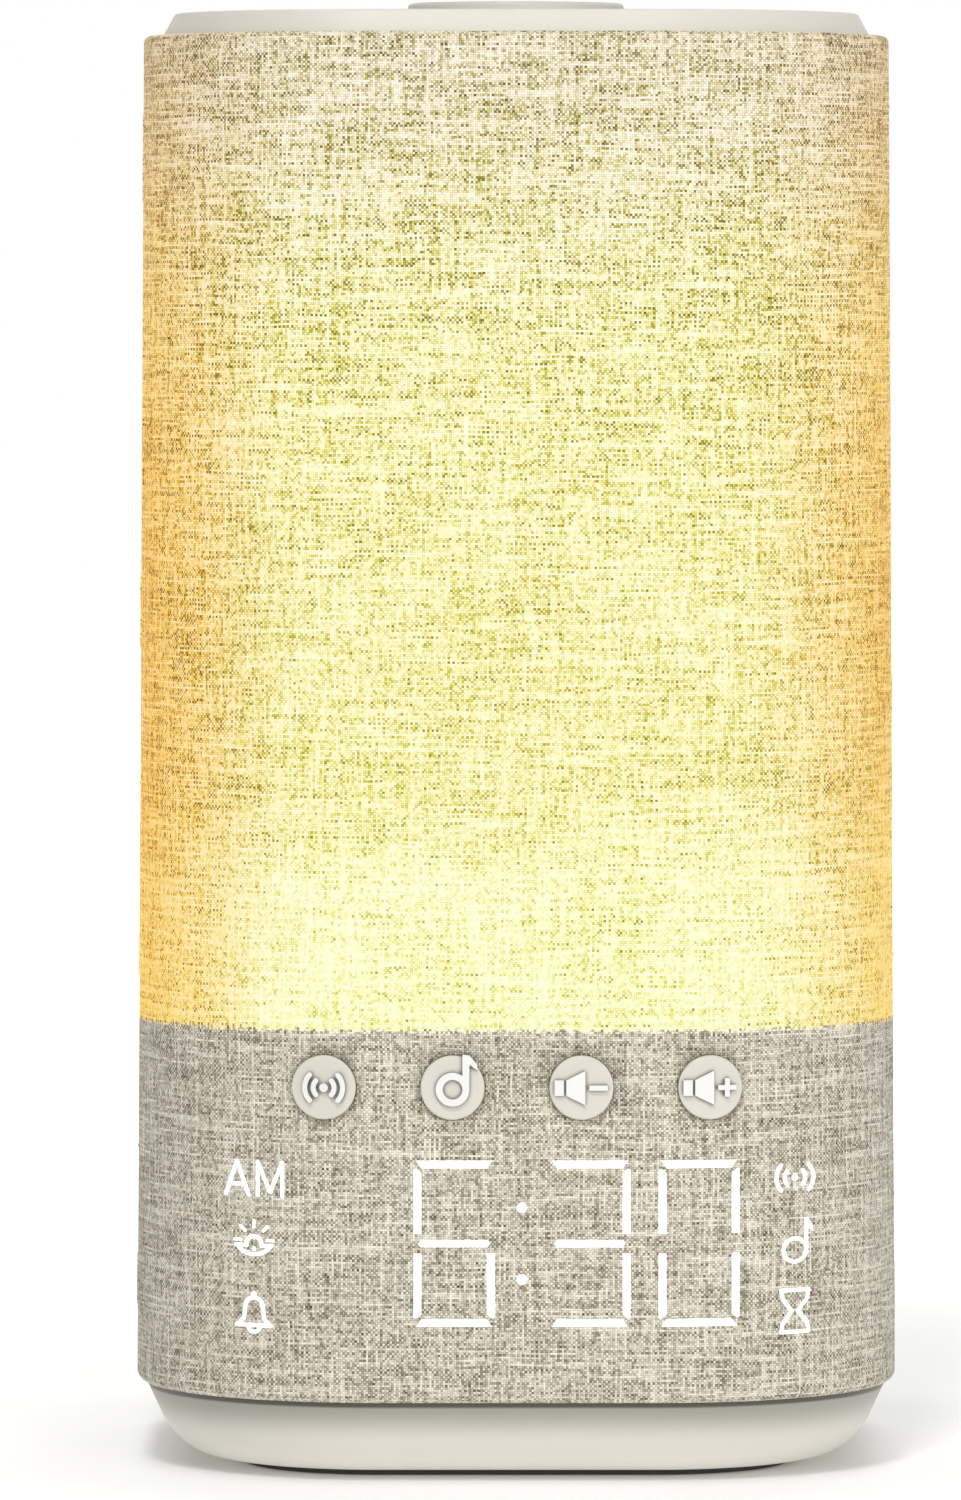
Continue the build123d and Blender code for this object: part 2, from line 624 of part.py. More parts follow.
def base_cover():
    body = base_bowl(0, BASE_Z) - base_bowl(BASE_WALL, BASE_FLOOR_Z)
    body += tube(CHASSIS_OUT, CHASSIS_OUT + SPIGOT_WALL, FOOT_Z - SPIGOT_ROOT, FOOT_Z + SPIGOT_RISE)
    tall = [rod(top_plane(x, y, 0), PILLAR_RADIUS, BASE_Z + FOOT_SUNK, PILLAR_Z) for x, y in pillars()]
    small = [rod(top_plane(x, y, 0), POST_RADIUS, BASE_FLOOR_Z - BASE_WALL / 2, MAIN_BOARD_UNDER_Z)
             for x, y in main_board_screws()]
    body += tall + small
    body -= foot_ring_blank(BASE_Z - FOOT_PROUD, BASE_Z + FOOT_SUNK)
    seat = BASE_Z + BASE_SCREW_SINK
    for x, y in pillars():
        body -= rod(top_plane(x, y, 0), BASE_SCREW + HOLE_FIT, 0, PILLAR_Z)
        body -= rod(top_plane(x, y, 0), BASE_HEAD[0] + HEAD_FIT, 0, seat)
    for x, y in main_board_screws():
        body -= rod(top_plane(x, y, MAIN_BOARD_UNDER_Z), SMALL_SCREW + SCREW_FIT, -SMALL_SCREW_LENGTH, 0)
    return body


def base_screws():
    """Driven upwards through the base posts into the chassis pillars."""
    seat = BASE_Z + BASE_SCREW_SINK
    return together([screw(underside_plane(x, y, seat), BASE_SCREW, BASE_SCREW_LENGTH, BASE_HEAD)
                     for x, y in pillars()])


# ================================================================ chassis and deck
def chassis_pillars():
    """Screw pillars in the corners, each with a web to the side wall."""
    pieces = []
    for x, y in pillars():
        pieces.append(rod(top_plane(x, y, 0), PILLAR_RADIUS, PILLAR_Z, DECK_UNDER_Z))
        wall = math.copysign(BODY_WIDTH / 2, x)
        web = (y - PILLAR_WEB / 2, y + PILLAR_WEB / 2)
        pieces.append(block(min(x, wall), max(x, wall), *web, PILLAR_Z, DECK_UNDER_Z))
    return pieces


def front_post_places():
    return [(s * FRONT_SCREW_X, z) for s in (-1, 1) for z in (KEY_Z, FRONT_LOW_SCREW_Z)]


def lower_chassis():
    solid = column(CHASSIS_OUT, CHASSIS_Z, DECK_UNDER_Z)
    inside = chassis_pillars()
    guide = KEY_RADIUS + KEY_GAP + GUIDE_WALL
    inside += [rod(plane, guide, SEAT_ABOVE_BOARD, FAR / 2) for plane in front_switch_planes()]
    inside += [rod(front_plane(x, FRONT_BOARD_Y, z), POST_RADIUS, 0, FAR / 2) for x, z in front_post_places()]
    inside.append(rod(rear_plane(0, seat_y(), SPEAKER_Z), SPEAKER_RADIUS, 0, CHASSIS_WALL))
    body = solid - column(CHASSIS_IN, CHASSIS_Z, DECK_UNDER_Z)
    body += merged(inside) & solid
    body += chassis_nibs(NIB_WIDTH, NIB_HEIGHT, NIB_PROUD)
    body -= key_holes(KEY_GAP)
    body -= display_window(WINDOW_PLAY)
    body -= rod(rear_plane(0, 0, SPEAKER_Z), SPEAKER_MOUTH, CORNER_CENTRE, FAR)
    body -= port_hole(BEZEL_PLAY)
    for x, y in pillars():
        reach = BASE_SCREW_LENGTH - (PILLAR_Z - BASE_Z - BASE_SCREW_SINK)
        body -= rod(top_plane(x, y, PILLAR_Z), BASE_SCREW + SCREW_FIT, 0, reach + SCREW_END)
        body -= rod(top_plane(x, y, DECK_UNDER_Z), BASE_SCREW + SCREW_FIT, -DECK_SCREW_LENGTH, 0)
    for x, z in front_post_places():
        body -= rod(front_plane(x, FRONT_BOARD_Y, z), SMALL_SCREW + SCREW_FIT, 0, SMALL_SCREW_LENGTH)
    return body


def light_screws():
    """Three screws, one of them at the front."""
    angles = [math.radians(120 * n - 90) for n in range(3)]
    return [(LIGHT_SCREW_RING * math.cos(a), LIGHT_SCREW_RING * math.sin(a)) for a in angles]


def cable_slot(x, y, z0, z1):
    across, thick = CABLE[0] / 2 + SLOT_PLAY, CABLE[1] / 2 + SLOT_PLAY
    return block(x - across, x + across, y - thick, y + thick, z0, z1)


def cable_y():
    """The long ribbon runs just inside the back of the body."""
    return half_width(FOOT_Z, CHASSIS_IN) - CABLE_FROM_WALL


def reflector_deck():
    """White plate that closes the electronics off from the light chamber."""
    body = column(CHASSIS_OUT, DECK_UNDER_Z, DECK_Z)
    bosses = [rod(top_plane(x, y, DECK_Z), POST_RADIUS, -SMALL_SCREW_LENGTH, 0) for x, y in light_screws()]
    body += bosses
    for x, y in light_screws():
        body -= rod(top_plane(x, y, DECK_Z), SMALL_SCREW + SCREW_FIT, -SMALL_SCREW_LENGTH, 0)
    for x, y in pillars():
        body -= rod(top_plane(x, y, DECK_Z), BASE_SCREW + HOLE_FIT, -DECK_PLATE, 0)
    body -= cable_slot(CABLE_X, cable_y(), DECK_UNDER_Z, DECK_Z)
    return body - cable_slot(0, 0, DECK_UNDER_Z, DECK_Z)


def deck_screws():
    return together([screw(top_plane(x, y, DECK_Z), BASE_SCREW, DECK_SCREW_LENGTH, BASE_HEAD)
                     for x, y in pillars()])


def light_board():
    body = rod(top_plane(0, 0, DECK_Z), LIGHT_BOARD_RADIUS, 0, BOARD)
    for x, y in light_screws():
        body -= rod(top_plane(x, y, DECK_Z), SMALL_SCREW + HOLE_FIT, 0, BOARD)
    return body


def light_chips():
    pieces = []
    for count, radius in CHIP_RINGS:
        for n in range(count):
            turn = Rot(0, 0, 360 * n / count)
            chip = prism(top_plane(radius, 0, DECK_Z + BOARD), Rectangle(CHIP_SIDE, CHIP_SIDE), 0, CHIP_HEIGHT)
            pieces.append(turn * chip)
    return together(pieces)


# ================================================================ display
def bar_shapes():
    """The seven bars of one digit, by their usual letters."""
    w, h, t = DIGIT_WIDTH / 2, DIGIT_HEIGHT / 2, BAR
    gap = t * 0.15
    top = outline((-w + t * 0.3, h), (w - t * 0.3, h), (w - t, h - t), (-w + t, h - t))
    side = outline((-w, h - t - gap), (-w + t * 0.3, h - t), (-w + t, h - 1.55 * t), (-w + t, 1.2 * t),
                   (-w, 1.2 * t))
    middle = outline((-w + 0.6 * t, 0), (-w + 0.9 * t, t * 0.46), (w - 0.9 * t, t * 0.46),
                     (w - 0.6 * t, 0), (w - 0.9 * t, -t * 0.46), (-w + 0.9 * t, -t * 0.46))
    return {
        "a": top, "d": mirror(top, Plane.XZ), "g": middle,
        "f": side, "e": mirror(side, Plane.XZ),
        "b": mirror(side, Plane.YZ), "c": mirror(mirror(side, Plane.YZ), Plane.XZ),
    }


LIT_BARS = {"6": "acdefg", "3": "abcdg", "0": "abcdef"}


def display_signs():
    """The small lit signs in two columns, with the middle of each."""
    left = (am_sign(SIGN_STROKE), sunrise_sign(SIGN_STROKE), bell_sign(SIGN_STROKE))
    note = Pos(0, -1.3) * note_sign(1.5, SIGN_STROKE, 4.2)
    right = (wireless_sign(SIGN_STROKE), note, hourglass_sign(SIGN_STROKE))
    found = [(LEFT_SIGNS_X, rise, sign) for rise, sign in zip(SIGN_RISES, left)]
    return found + [(RIGHT_SIGNS_X, rise, sign) for rise, sign in zip(SIGN_RISES, right)]


def display_bars():
    """Lit and unlit bars and dots, about the display's own middle."""
    lit, dark = [], []
    bars = bar_shapes()
    for figure, x in DIGITS:
        for letter, shape in bars.items():
            group = lit if letter in LIT_BARS[figure] else dark
            group.append(Pos(x, 0) * shape)
    dark += [Pos(HOURS_X - DIGIT_PITCH, 0) * bars[letter] for letter in "bc"]
    lit += [Pos(TENS_X - COLON_IN, s * COLON_RISE) * Circle(COLON_RADIUS) for s in (-1, 1)]
    return lit, dark


def display_plane():
    return front_plane(0, FRONT_BOARD_Y, DISPLAY_Z)


def wells(sketches):
    return [prism(display_plane(), sketch, 0, FAR / 2) for sketch in sketches]


def mask_blank(inset):
    window = display_window(0)
    return column(inset, WINDOW_LOW_Z, WINDOW_HIGH_Z) & window


def display_mask():
    """Black light guide. Its front follows the shade's outer face, so it backs the cloth.

    Bars have wells as deep as the guide. Signs are shallow pockets with a bore behind,
    which keeps the islands inside them joined to the guide.
    """
    lit, dark = display_bars()
    body = mask_blank(CLOTH) - wells(lit + dark)
    core = mask_blank(CLOTH + 2 * LENS)
    for x, rise, sign in display_signs():
        body -= prism(display_plane(), Pos(x, rise) * sign, 0, FAR / 2) - core
        body -= prism(display_plane(), Pos(x, rise) * Circle(SIGN_BORE), 0, FAR / 2) & core
    return body


def display_lenses(sketches):
    """Milky windows at the mouths of the wells."""
    skin = mask_blank(CLOTH) - mask_blank(CLOTH + LENS)
    return together([well & skin for well in wells(sketches)])


def display_lit_lenses():
    return display_lenses(display_bars()[0] + [Pos(x, rise) * sign for x, rise, sign in display_signs()])


def display_chips():
    """One small lamp on the front board in every well."""
    lit, dark = display_bars()
    middles = [sketch.bounding_box().center() for sketch in lit + dark]
    places = [(middle.X, middle.Y) for middle in middles]
    places += [(x, rise) for x, rise, _ in display_signs()]
    side, height = DISPLAY_CHIP
    return together([prism(display_plane(), Pos(x, y) * Rectangle(side, side), 0, height) for x, y in places])


def front_board():
    half = half_width(DECK_UNDER_Z, CHASSIS_IN) - CORNER_CENTRE
    across = abs(FRONT_BOARD_Y) - CORNER_CENTRE
    reach = CORNER_CENTRE + math.sqrt(half ** 2 - across ** 2) - FRONT_BOARD_SIDE_GAP
    low, high = FOOT_Z + FRONT_BOARD_LOW, DECK_UNDER_Z - FRONT_BOARD_TOP_GAP
    body = block(-reach, reach, FRONT_BOARD_Y, FRONT_BOARD_BACK_Y, low, high)
    for x, z in front_post_places():
        body -= rod(front_plane(x, FRONT_BOARD_BACK_Y, z), SMALL_SCREW + HOLE_FIT, 0, BOARD)
    return body


# ================================================================ main board
def main_board_front():
    return FRONT_BOARD_BACK_Y + MAIN_BOARD_FRONT_GAP


def main_board_rear():
    return half_width(PORT_Z, CHASSIS_IN) - MAIN_BOARD_REAR_GAP


def main_board():
    body = block(-MAIN_BOARD_HALF, MAIN_BOARD_HALF, main_board_front(), main_board_rear(),
                 MAIN_BOARD_UNDER_Z, MAIN_BOARD_Z)
    for x, y in main_board_screws():
        body -= rod(top_plane(x, y, MAIN_BOARD_UNDER_Z), SMALL_SCREW + HOLE_FIT, 0, BOARD)
    return body


def on_main_board(x, y, width, depth, height):
    return block(x - width / 2, x + width / 2, y - depth / 2, y + depth / 2,
                 MAIN_BOARD_Z, MAIN_BOARD_Z + height)


def wireless_module():
    """Small shielded radio board."""
    return on_main_board(*RADIO_PLATE) + on_main_board(*RADIO_SHIELD)


def board_chips():
    front = main_board_front()
    placed = list(CHIPS) + [(x, front + y, *size) for x, y, *size in FRONT_CHIPS]
    return together([on_main_board(*chip) for chip in placed])


def board_capacitors():
    radius, height = CAPACITOR
    places = [(x, main_board_rear() - y) for x, y in REAR_CAPACITORS]
    places.append((MAIN_BOARD_HALF - SIDE_CAPACITOR[0], SIDE_CAPACITOR[1]))
    return together([rod(top_plane(x, y, MAIN_BOARD_Z), radius, 0, height) for x, y in places])


def coin_cell_holder():
    """Tray under the main board for the cell that keeps the time in a power cut."""
    radius, height = COIN_CELL
    wall, floor = COIN_TRAY
    plane = underside_plane(0, COIN_CELL_Y, MAIN_BOARD_UNDER_Z)
    body = rod(plane, radius + COIN_PLAY + wall, 0, floor + height)
    return body - rod(plane, radius + COIN_PLAY, floor, floor + height)


def coin_cell():
    radius, height = COIN_CELL
    floor = COIN_TRAY[1]
    return rod(underside_plane(0, COIN_CELL_Y, MAIN_BOARD_UNDER_Z), radius, floor, floor + height)


def board_screws():
    """All the small screws: main board, front board, lid board and light board."""
    planes = [top_plane(x, y, MAIN_BOARD_Z) for x, y in main_board_screws()]
    planes += [rear_plane(x, FRONT_BOARD_BACK_Y, z) for x, z in front_post_places()]
    planes += [underside_plane(x, y, TOP_BOARD_UNDER_Z) for x, y in pillars()]
    planes += [top_plane(x, y, DECK_Z + BOARD) for x, y in light_screws()]
    return together([screw(plane, SMALL_SCREW, SMALL_SCREW_LENGTH, SMALL_HEAD) for plane in planes])


# ================================================================ power socket
def bezel_neck():
    """Outer size of the bezel where it passes through the walls."""
    grow = 2 * (SOCKET_PLAY + BEZEL_WALL)
    return SOCKET[0] + grow, SOCKET[1] + grow


def port_bezel():
    """Plastic surround that covers the cut edge of the cloth."""
    width, height = bezel_neck()
    plane = rear_plane(0, 0, PORT_Z)
    low, high = FOOT_Z, PORT_Z + 2 * height
    lip = prism(plane, stadium(width + 2 * BEZEL_LIP, height + 2 * BEZEL_LIP), CORNER_CENTRE, FAR)
    lip &= column(-BEZEL_PROUD, low, high) - column(0, low, high)
    neck = prism(plane, stadium(width, height), half_width(PORT_Z, CHASSIS_IN), FAR)
    neck &= column(-BEZEL_PROUD, low, high)
    hole = stadium(SOCKET[0] + 2 * SOCKET_PLAY, SOCKET[1] + 2 * SOCKET_PLAY)
    return lip + neck - prism(plane, hole, CORNER_CENTRE, FAR)


def socket_mouth():
    return half_width(PORT_Z) + BEZEL_PROUD - SOCKET_BACK


def socket_inside():
    return stadium(SOCKET[0] - 2 * SOCKET_SKIN, SOCKET[1] - 2 * SOCKET_SKIN)


def power_socket_shell():
    plane = rear_plane(0, socket_mouth(), PORT_Z)
    return prism(plane, stadium(*SOCKET), -SOCKET_LENGTH, 0) - prism(plane, socket_inside(), -SOCKET_LENGTH, 0)


def power_socket_tongue():
    """Insulator at the back of the socket with the thin contact tongue."""
    plane = rear_plane(0, socket_mouth(), PORT_Z)
    root_end = TONGUE_ROOT - SOCKET_LENGTH
    root = prism(plane, socket_inside(), -SOCKET_LENGTH, root_end)
    return root + prism(plane, Rectangle(*TONGUE), root_end, -TONGUE_BACK)


# ================================================================ speaker
# The speaker is turned about its axis, which points out of the back. Its profiles
# give the radius and the depth behind the seat on the chassis.
def seat_y():
    """The seat is flat, so it stands just proud of the leaning wall."""
    return half_width(SPEAKER_Z + SPEAKER_RADIUS, CHASSIS_IN) - SPEAKER_SEAT


def turned(points):
    """Solid of revolution about the speaker's axis."""
    section = make_face(Polyline(*[(r, -depth) for r, depth in points], close=True))
    place = Plane(origin=(0, seat_y(), SPEAKER_Z), x_dir=(1, 0, 0), z_dir=(0, 0, 1))
    return revolve(place * section, Axis((0, 0, SPEAKER_Z), (0, 1, 0)))


FLANGE_DEPTH = GASKET + FRAME_FLANGE
PLATE_DEPTH = FLANGE_DEPTH + BASKET_DEPTH - BASKET_WALL
MAGNET_START = PLATE_DEPTH + BASKET_WALL + TOP_PLATE
YOKE_START = MAGNET_START + MAGNET_DEPTH
FRAME_MOUTH = SPEAKER_MOUTH - FRAME_STEP


def speaker_gasket():
    return turned([(SPEAKER_MOUTH, 0), (SPEAKER_RADIUS, 0), (SPEAKER_RADIUS, GASKET), (SPEAKER_MOUTH, GASKET)])


def speaker_frame():
    """Flange, conical basket with four windows, and the solder tab."""
    floor = PLATE_DEPTH + BASKET_WALL
    profile = [
        (FRAME_MOUTH, GASKET), (SPEAKER_RADIUS, GASKET), (SPEAKER_RADIUS, FLANGE_DEPTH),
        (FRAME_MOUTH + BASKET_WALL, FLANGE_DEPTH), (PLATE_RADIUS, floor), (FRAME_BORE, floor),
        (FRAME_BORE, PLATE_DEPTH), (PLATE_RADIUS - BASKET_WALL, PLATE_DEPTH), (FRAME_MOUTH, FLANGE_DEPTH),
    ]
    flange_y = seat_y() - FLANGE_DEPTH
    tab = block(-TAB[0] / 2, TAB[0] / 2, flange_y - TAB[1], flange_y + FRAME_FLANGE / 2,
                SPEAKER_Z - SPEAKER_RADIUS + TAB_RISE, SPEAKER_Z - FRAME_MOUTH)
    width, flange_margin, floor_margin = BASKET_WINDOW
    window = block(-width / 2, width / 2, seat_y() - PLATE_DEPTH + floor_margin, flange_y - flange_margin,
                   PLATE_RADIUS - BASKET_WALL, SPEAKER_RADIUS)
    windows = [Pos(0, 0, SPEAKER_Z) * Rot(0, 45 + 90 * n, 0) * window for n in range(4)]
    return turned(profile) + tab - windows


def speaker_magnet():
    """Ring magnet with the front plate that carries the flux to the coil."""
    def washer(inner, outer, start, end):
        return turned([(inner, start), (outer, start), (outer, end), (inner, end)])

    plate = washer(COIL_RADIUS[1] + COIL_PLAY, PLATE_RADIUS - PLATE_STEP, PLATE_DEPTH + BASKET_WALL, MAGNET_START)
    return together([plate, washer(MAGNET_BORE, PLATE_RADIUS, MAGNET_START, YOKE_START)])


def speaker_yoke():
    """Back plate with the pole in its middle."""
    back, rim = YOKE_START + YOKE_PLATE, PLATE_RADIUS - PLATE_STEP
    tip = PLATE_DEPTH + BASKET_WALL
    return turned([
        (0, back), (rim, back), (rim, YOKE_START), (POLE_RADIUS, YOKE_START), (POLE_RADIUS, tip), (0, tip),
    ])


CONE_EDGE_DEPTH = GASKET + CONE_TRAVEL + CONE_BACK
CONE_NECK_DEPTH = PLATE_DEPTH - NECK_GAP
COIL_END = YOKE_START - CONE_TRAVEL - CONE_BACK


def speaker_cone():
    """Paper cone with its dust cap."""
    neck = COIL_RADIUS[1]
    shoulder, middle = (CONE_NECK_DEPTH - rise for rise in DUST_CAP)
    return turned([
        (0, middle), (neck * 0.6, shoulder), (neck, CONE_NECK_DEPTH - CONE_SKIN * 1.5),
        (CONE_RADIUS, CONE_EDGE_DEPTH), (CONE_RADIUS, CONE_EDGE_DEPTH + CONE_SKIN),
        (neck, CONE_NECK_DEPTH), (neck * 0.6, shoulder + CONE_SKIN), (0, middle + CONE_SKIN),
    ])


def voice_coil():
    inner, outer = COIL_RADIUS
    return turned([(inner, CONE_NECK_DEPTH), (outer, CONE_NECK_DEPTH), (outer, COIL_END), (inner, COIL_END)])


def basket_bore(depth):
    """Inner radius of the basket at a depth behind the seat."""
    foot = PLATE_RADIUS - BASKET_WALL
    return FRAME_MOUTH + (foot - FRAME_MOUTH) * (depth - FLANGE_DEPTH) / (PLATE_DEPTH - FLANGE_DEPTH)


def speaker_suspension():
    """Rubber half roll round the cone's edge, and the cloth spider that centres the coil."""
    inner, outer, edge = CONE_RADIUS, basket_bore(CONE_EDGE_DEPTH), CONE_EDGE_DEPTH
    middle, crest, side = (inner + outer) / 2, edge - ROLL, (outer - inner) / 4
    roll = turned([
        (inner, edge), (middle - side, crest + ROLL / 4), (middle, crest), (middle + side, crest + ROLL / 4),
        (outer, edge), (basket_bore(edge + CONE_SKIN), edge + CONE_SKIN), (middle, crest + CONE_SKIN),
        (inner, edge + CONE_SKIN),
    ])
    neck, high = COIL_RADIUS[1], CONE_NECK_DEPTH + SPIDER_GAP
    low = high + SPIDER
    spider = turned([(neck, high), (basket_bore(high), high), (basket_bore(low), low), (neck, low)])
    return together([roll, spider])


def speaker_grille():
    """Perforated disc, flush with the shade, that holds the cloth off the speaker."""
    radius = SPEAKER_RADIUS - 2 * GRILLE_PLAY
    plane = rear_plane(0, 0, SPEAKER_Z)
    low, high = SPEAKER_Z - SPEAKER_RADIUS, SPEAKER_Z + SPEAKER_RADIUS
    body = rod(plane, radius, CORNER_CENTRE, FAR) & tube(CLOTH, CHASSIS_OUT, low, high)
    rows = int(SPEAKER_MOUTH / (GRILLE_PITCH * math.sin(math.pi / 3)))
    holes = []
    for row in range(-rows, rows + 1):
        v = row * GRILLE_PITCH * math.sin(math.pi / 3)
        shift = GRILLE_PITCH / 2 if row % 2 else 0
        for n in range(-rows - 1, rows + 2):
            u = n * GRILLE_PITCH + shift
            if math.hypot(u, v) < SPEAKER_MOUTH - 1.5 * GRILLE_HOLE:
                holes.append(Pos(u, v) * Circle(GRILLE_HOLE))
    return body - prism(plane, Sketch() + holes, CORNER_CENTRE, FAR)


# ================================================================ lid
def top_cap():
    block_half = half_width(RIM_Z, CAP_STEP)
    body = extrude(rounded_square(block_half, RIM_Z), CAP_HEIGHT, taper=CAP_SLOPE)
    body = fillet(body.faces().sort_by(Axis.Z)[-1].edges(), CAP_EDGE)
    body += column(CHASSIS_OUT, SKIRT_Z, RIM_Z)
    body -= column(SKIRT_IN, SKIRT_Z, CAP_UNDER_Z)
    body += lid_nibs(NIB_WIDTH, NIB_HEIGHT, NIB_PROUD)
    posts = [top_plane(x, y, TOP_BOARD_Z) for x, y in pillars()]
    body += [rod(post, POST_RADIUS, 0, SEAT_ABOVE_BOARD) for post in posts]
    body -= [rod(post, SMALL_SCREW + SCREW_FIT, 0, SMALL_SCREW_LENGTH) for post in posts]
    body -= rod(top_plane(0, 0, CAP_UNDER_Z), SNOOZE_RADIUS + KEY_GAP, 0, CAP_PLATE)
    keys = [top_plane(x, y, CAP_UNDER_Z) for x, y in lid_key_places().values()]
    return body - [rod(key, KEY_RADIUS + KEY_GAP, 0, CAP_PLATE) for key in keys]


def top_board():
    half = half_width(RIM_Z, SKIRT_IN) - TOP_BOARD_EDGE
    body = extrude(rounded_square(half, TOP_BOARD_UNDER_Z), BOARD)
    for x, y in pillars():
        body -= rod(top_plane(x, y, TOP_BOARD_UNDER_Z), SMALL_SCREW + HOLE_FIT, 0, BOARD)
    return body


def top_reflector():
    """White plate that closes the light chamber below the lid, with a lip inside the skirt."""
    body = column(CHASSIS_OUT, SKIRT_Z - REFLECTOR_PLATE, SKIRT_Z)
    lip_out = SKIRT_IN + SHELL_FIT
    body += tube(lip_out, lip_out + REFLECTOR_LIP_WALL, SKIRT_Z - REFLECTOR_PLATE / 2, SKIRT_Z + REFLECTOR_LIP)
    return body - cable_slot(CABLE_X, top_socket_y(), SKIRT_Z - REFLECTOR_PLATE, SKIRT_Z)


# ================================================================ wiring
def top_socket_y():
    return cable_y() - CABLE_JOG


def ribbon(points, x):
    """A flat ribbon in a plane of constant x, with rounded bends."""
    path = FilletPolyline(*[(x, y, z) for y, z in points], radius=CABLE_BEND)
    section = Plane(origin=path @ 0, x_dir=(1, 0, 0), z_dir=path % 0) * Rectangle(*CABLE)
    return sweep(section, path=path)


def socket_block(plane):
    width, depth, height = PLUG
    return prism(plane, Rectangle(width, depth), 0, height)


def front_cable_z():
    return MAIN_BOARD_Z + PLUG[2] + CABLE_BEND + SLOT_PLAY


def cable_sockets():
    """Board sockets: lid board, main board rear, speaker, front board, main board front, lights."""
    return together([
        socket_block(underside_plane(CABLE_X, top_socket_y(), TOP_BOARD_UNDER_Z)),
        socket_block(top_plane(CABLE_X, cable_y(), MAIN_BOARD_Z)),
        socket_block(top_plane(0, speaker_socket_y(), MAIN_BOARD_Z)),
        socket_block(rear_plane(FRONT_CABLE_X, FRONT_BOARD_BACK_Y, front_cable_z())),
        socket_block(top_plane(FRONT_CABLE_X, front_cable_y(), MAIN_BOARD_Z)),
        socket_block(top_plane(0, 0, MAIN_BOARD_Z)),
    ])


def front_cable_y():
    return FRONT_BOARD_BACK_Y + PLUG[2] + CABLE_BEND + FRONT_CABLE_RUN


def ribbon_cables():
    """To the lid board, to the front board, and straight up to the light board."""
    plug = PLUG[2]
    low = MAIN_BOARD_Z + plug
    top = TOP_BOARD_UNDER_Z - plug
    back, front = cable_y(), top_socket_y()
    step_start, step_end = CABLE_DROPS
    long_run = ribbon([(front, top), (front, top - step_start), (back, top - step_end), (back, low)], CABLE_X)
    level, end = front_cable_z(), front_cable_y()
    short_run = ribbon([(FRONT_BOARD_BACK_Y + plug, level), (end, level), (end, low)], FRONT_CABLE_X)
    light_run = prism(top_plane(0, 0, 0), Rectangle(*CABLE), low, DECK_Z)
    return together([long_run, short_run, light_run])


def lead_start_y():
    return seat_y() - FLANGE_DEPTH - TAB[1]


def speaker_socket_y():
    return lead_start_y() - LEAD_RUN


def speaker_leads():
    """Two short wires from the speaker's tab to the main board."""
    level = SPEAKER_Z - SPEAKER_RADIUS + TAB_RISE + LEAD
    start, end = lead_start_y(), speaker_socket_y()
    end_z = MAIN_BOARD_Z + PLUG[2]
    wires = []
    for x in (-LEAD_SPREAD, LEAD_SPREAD):
        path = FilletPolyline((x, start, level), (x, end, level), (x, end, end_z), radius=LEAD)
        section = Plane(origin=path @ 0, z_dir=path % 0) * Circle(LEAD / 2)
        wires.append(sweep(section, path=path))
    return together(wires)


# ================================================================ all pieces
def pieces():
    found = {
        "base_cover": base_cover(), "foot_ring": foot_ring(), "base_screws": base_screws(),
        "shade_tube": shade_tube(), "fabric_sleeve": fabric_sleeve(),
        "lower_chassis": lower_chassis(), "reflector_deck": reflector_deck(), "deck_screws": deck_screws(),
        "light_board": light_board(), "light_chips": light_chips(),
        "front_board": front_board(), "display_mask": display_mask(),
        "display_lit_lenses": display_lit_lenses(), "display_dark_lenses": display_lenses(display_bars()[1]),
        "display_chips": display_chips(),
        "main_board": main_board(), "wireless_module": wireless_module(), "board_chips": board_chips(),
        "board_capacitors": board_capacitors(), "coin_cell_holder": coin_cell_holder(), "coin_cell": coin_cell(),
        "board_screws": board_screws(), "port_bezel": port_bezel(),
        "power_socket_shell": power_socket_shell(), "power_socket_tongue": power_socket_tongue(),
        "speaker_gasket": speaker_gasket(), "speaker_frame": speaker_frame(), "speaker_magnet": speaker_magnet(),
        "speaker_yoke": speaker_yoke(), "speaker_cone": speaker_cone(), "voice_coil": voice_coil(),
        "speaker_suspension": speaker_suspension(), "speaker_grille": speaker_grille(),
        "top_cap": top_cap(), "top_board": top_board(), "top_reflector": top_reflector(),
        "cable_sockets": cable_sockets(), "ribbon_cables": ribbon_cables(), "speaker_leads": speaker_leads(),
        "front_switch_bodies": together([switch_body(plane) for plane in front_switch_planes()]),
        "lid_switch_bodies": together([switch_body(plane) for plane in lid_switch_planes()]),
        "snooze_button": snooze_button(),
        "snooze_plunger": plunger(top_plane(0, 0, TOP_BOARD_Z), SNOOZE_TRAVEL),
    }
    front_signs = {
        "wireless": wireless_sign(0.65), "sound": Pos(0, -0.2) * note_sign(1.72, 0.9, 4.5),
        "volume_down": volume_sign(False), "volume_up": volume_sign(True),
    }
    for (name, sign), x, plane in zip(front_signs.items(), KEY_X, front_switch_planes()):
        found[f"{name}_key"] = front_key(x, sign)
        found[f"{name}_plunger"] = plunger(plane, KEY_TRAVEL)
    lid_signs = {"clock": clock_sign, "alarm": bell_sign, "sunrise": sunrise_sign, "timer": hourglass_sign}
    for name, (x, y) in lid_key_places().items():
        found[f"{name}_key"] = lid_key(x, y, lid_signs[name](0.5))
        found[f"{name}_plunger"] = plunger(top_plane(x, y, TOP_BOARD_Z), KEY_TRAVEL)
    return found


def main():
    os.makedirs("parts", exist_ok=True)
    for name, shape in pieces().items():
        export_step(shape, f"parts/{name}.step")


main()
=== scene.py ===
# %% [markdown]
# # A sunrise alarm clock, dressed for its picture
# The clock is a rounded-square column in a linen sleeve on a moulded base. Its rigid parts come
# from the frame at their real size and place. This script adds what the frame leaves plain: the
# cloth with the light behind it, its stitches and yarns, and a finish for every surface.

# %% Load the frame
import json
import math

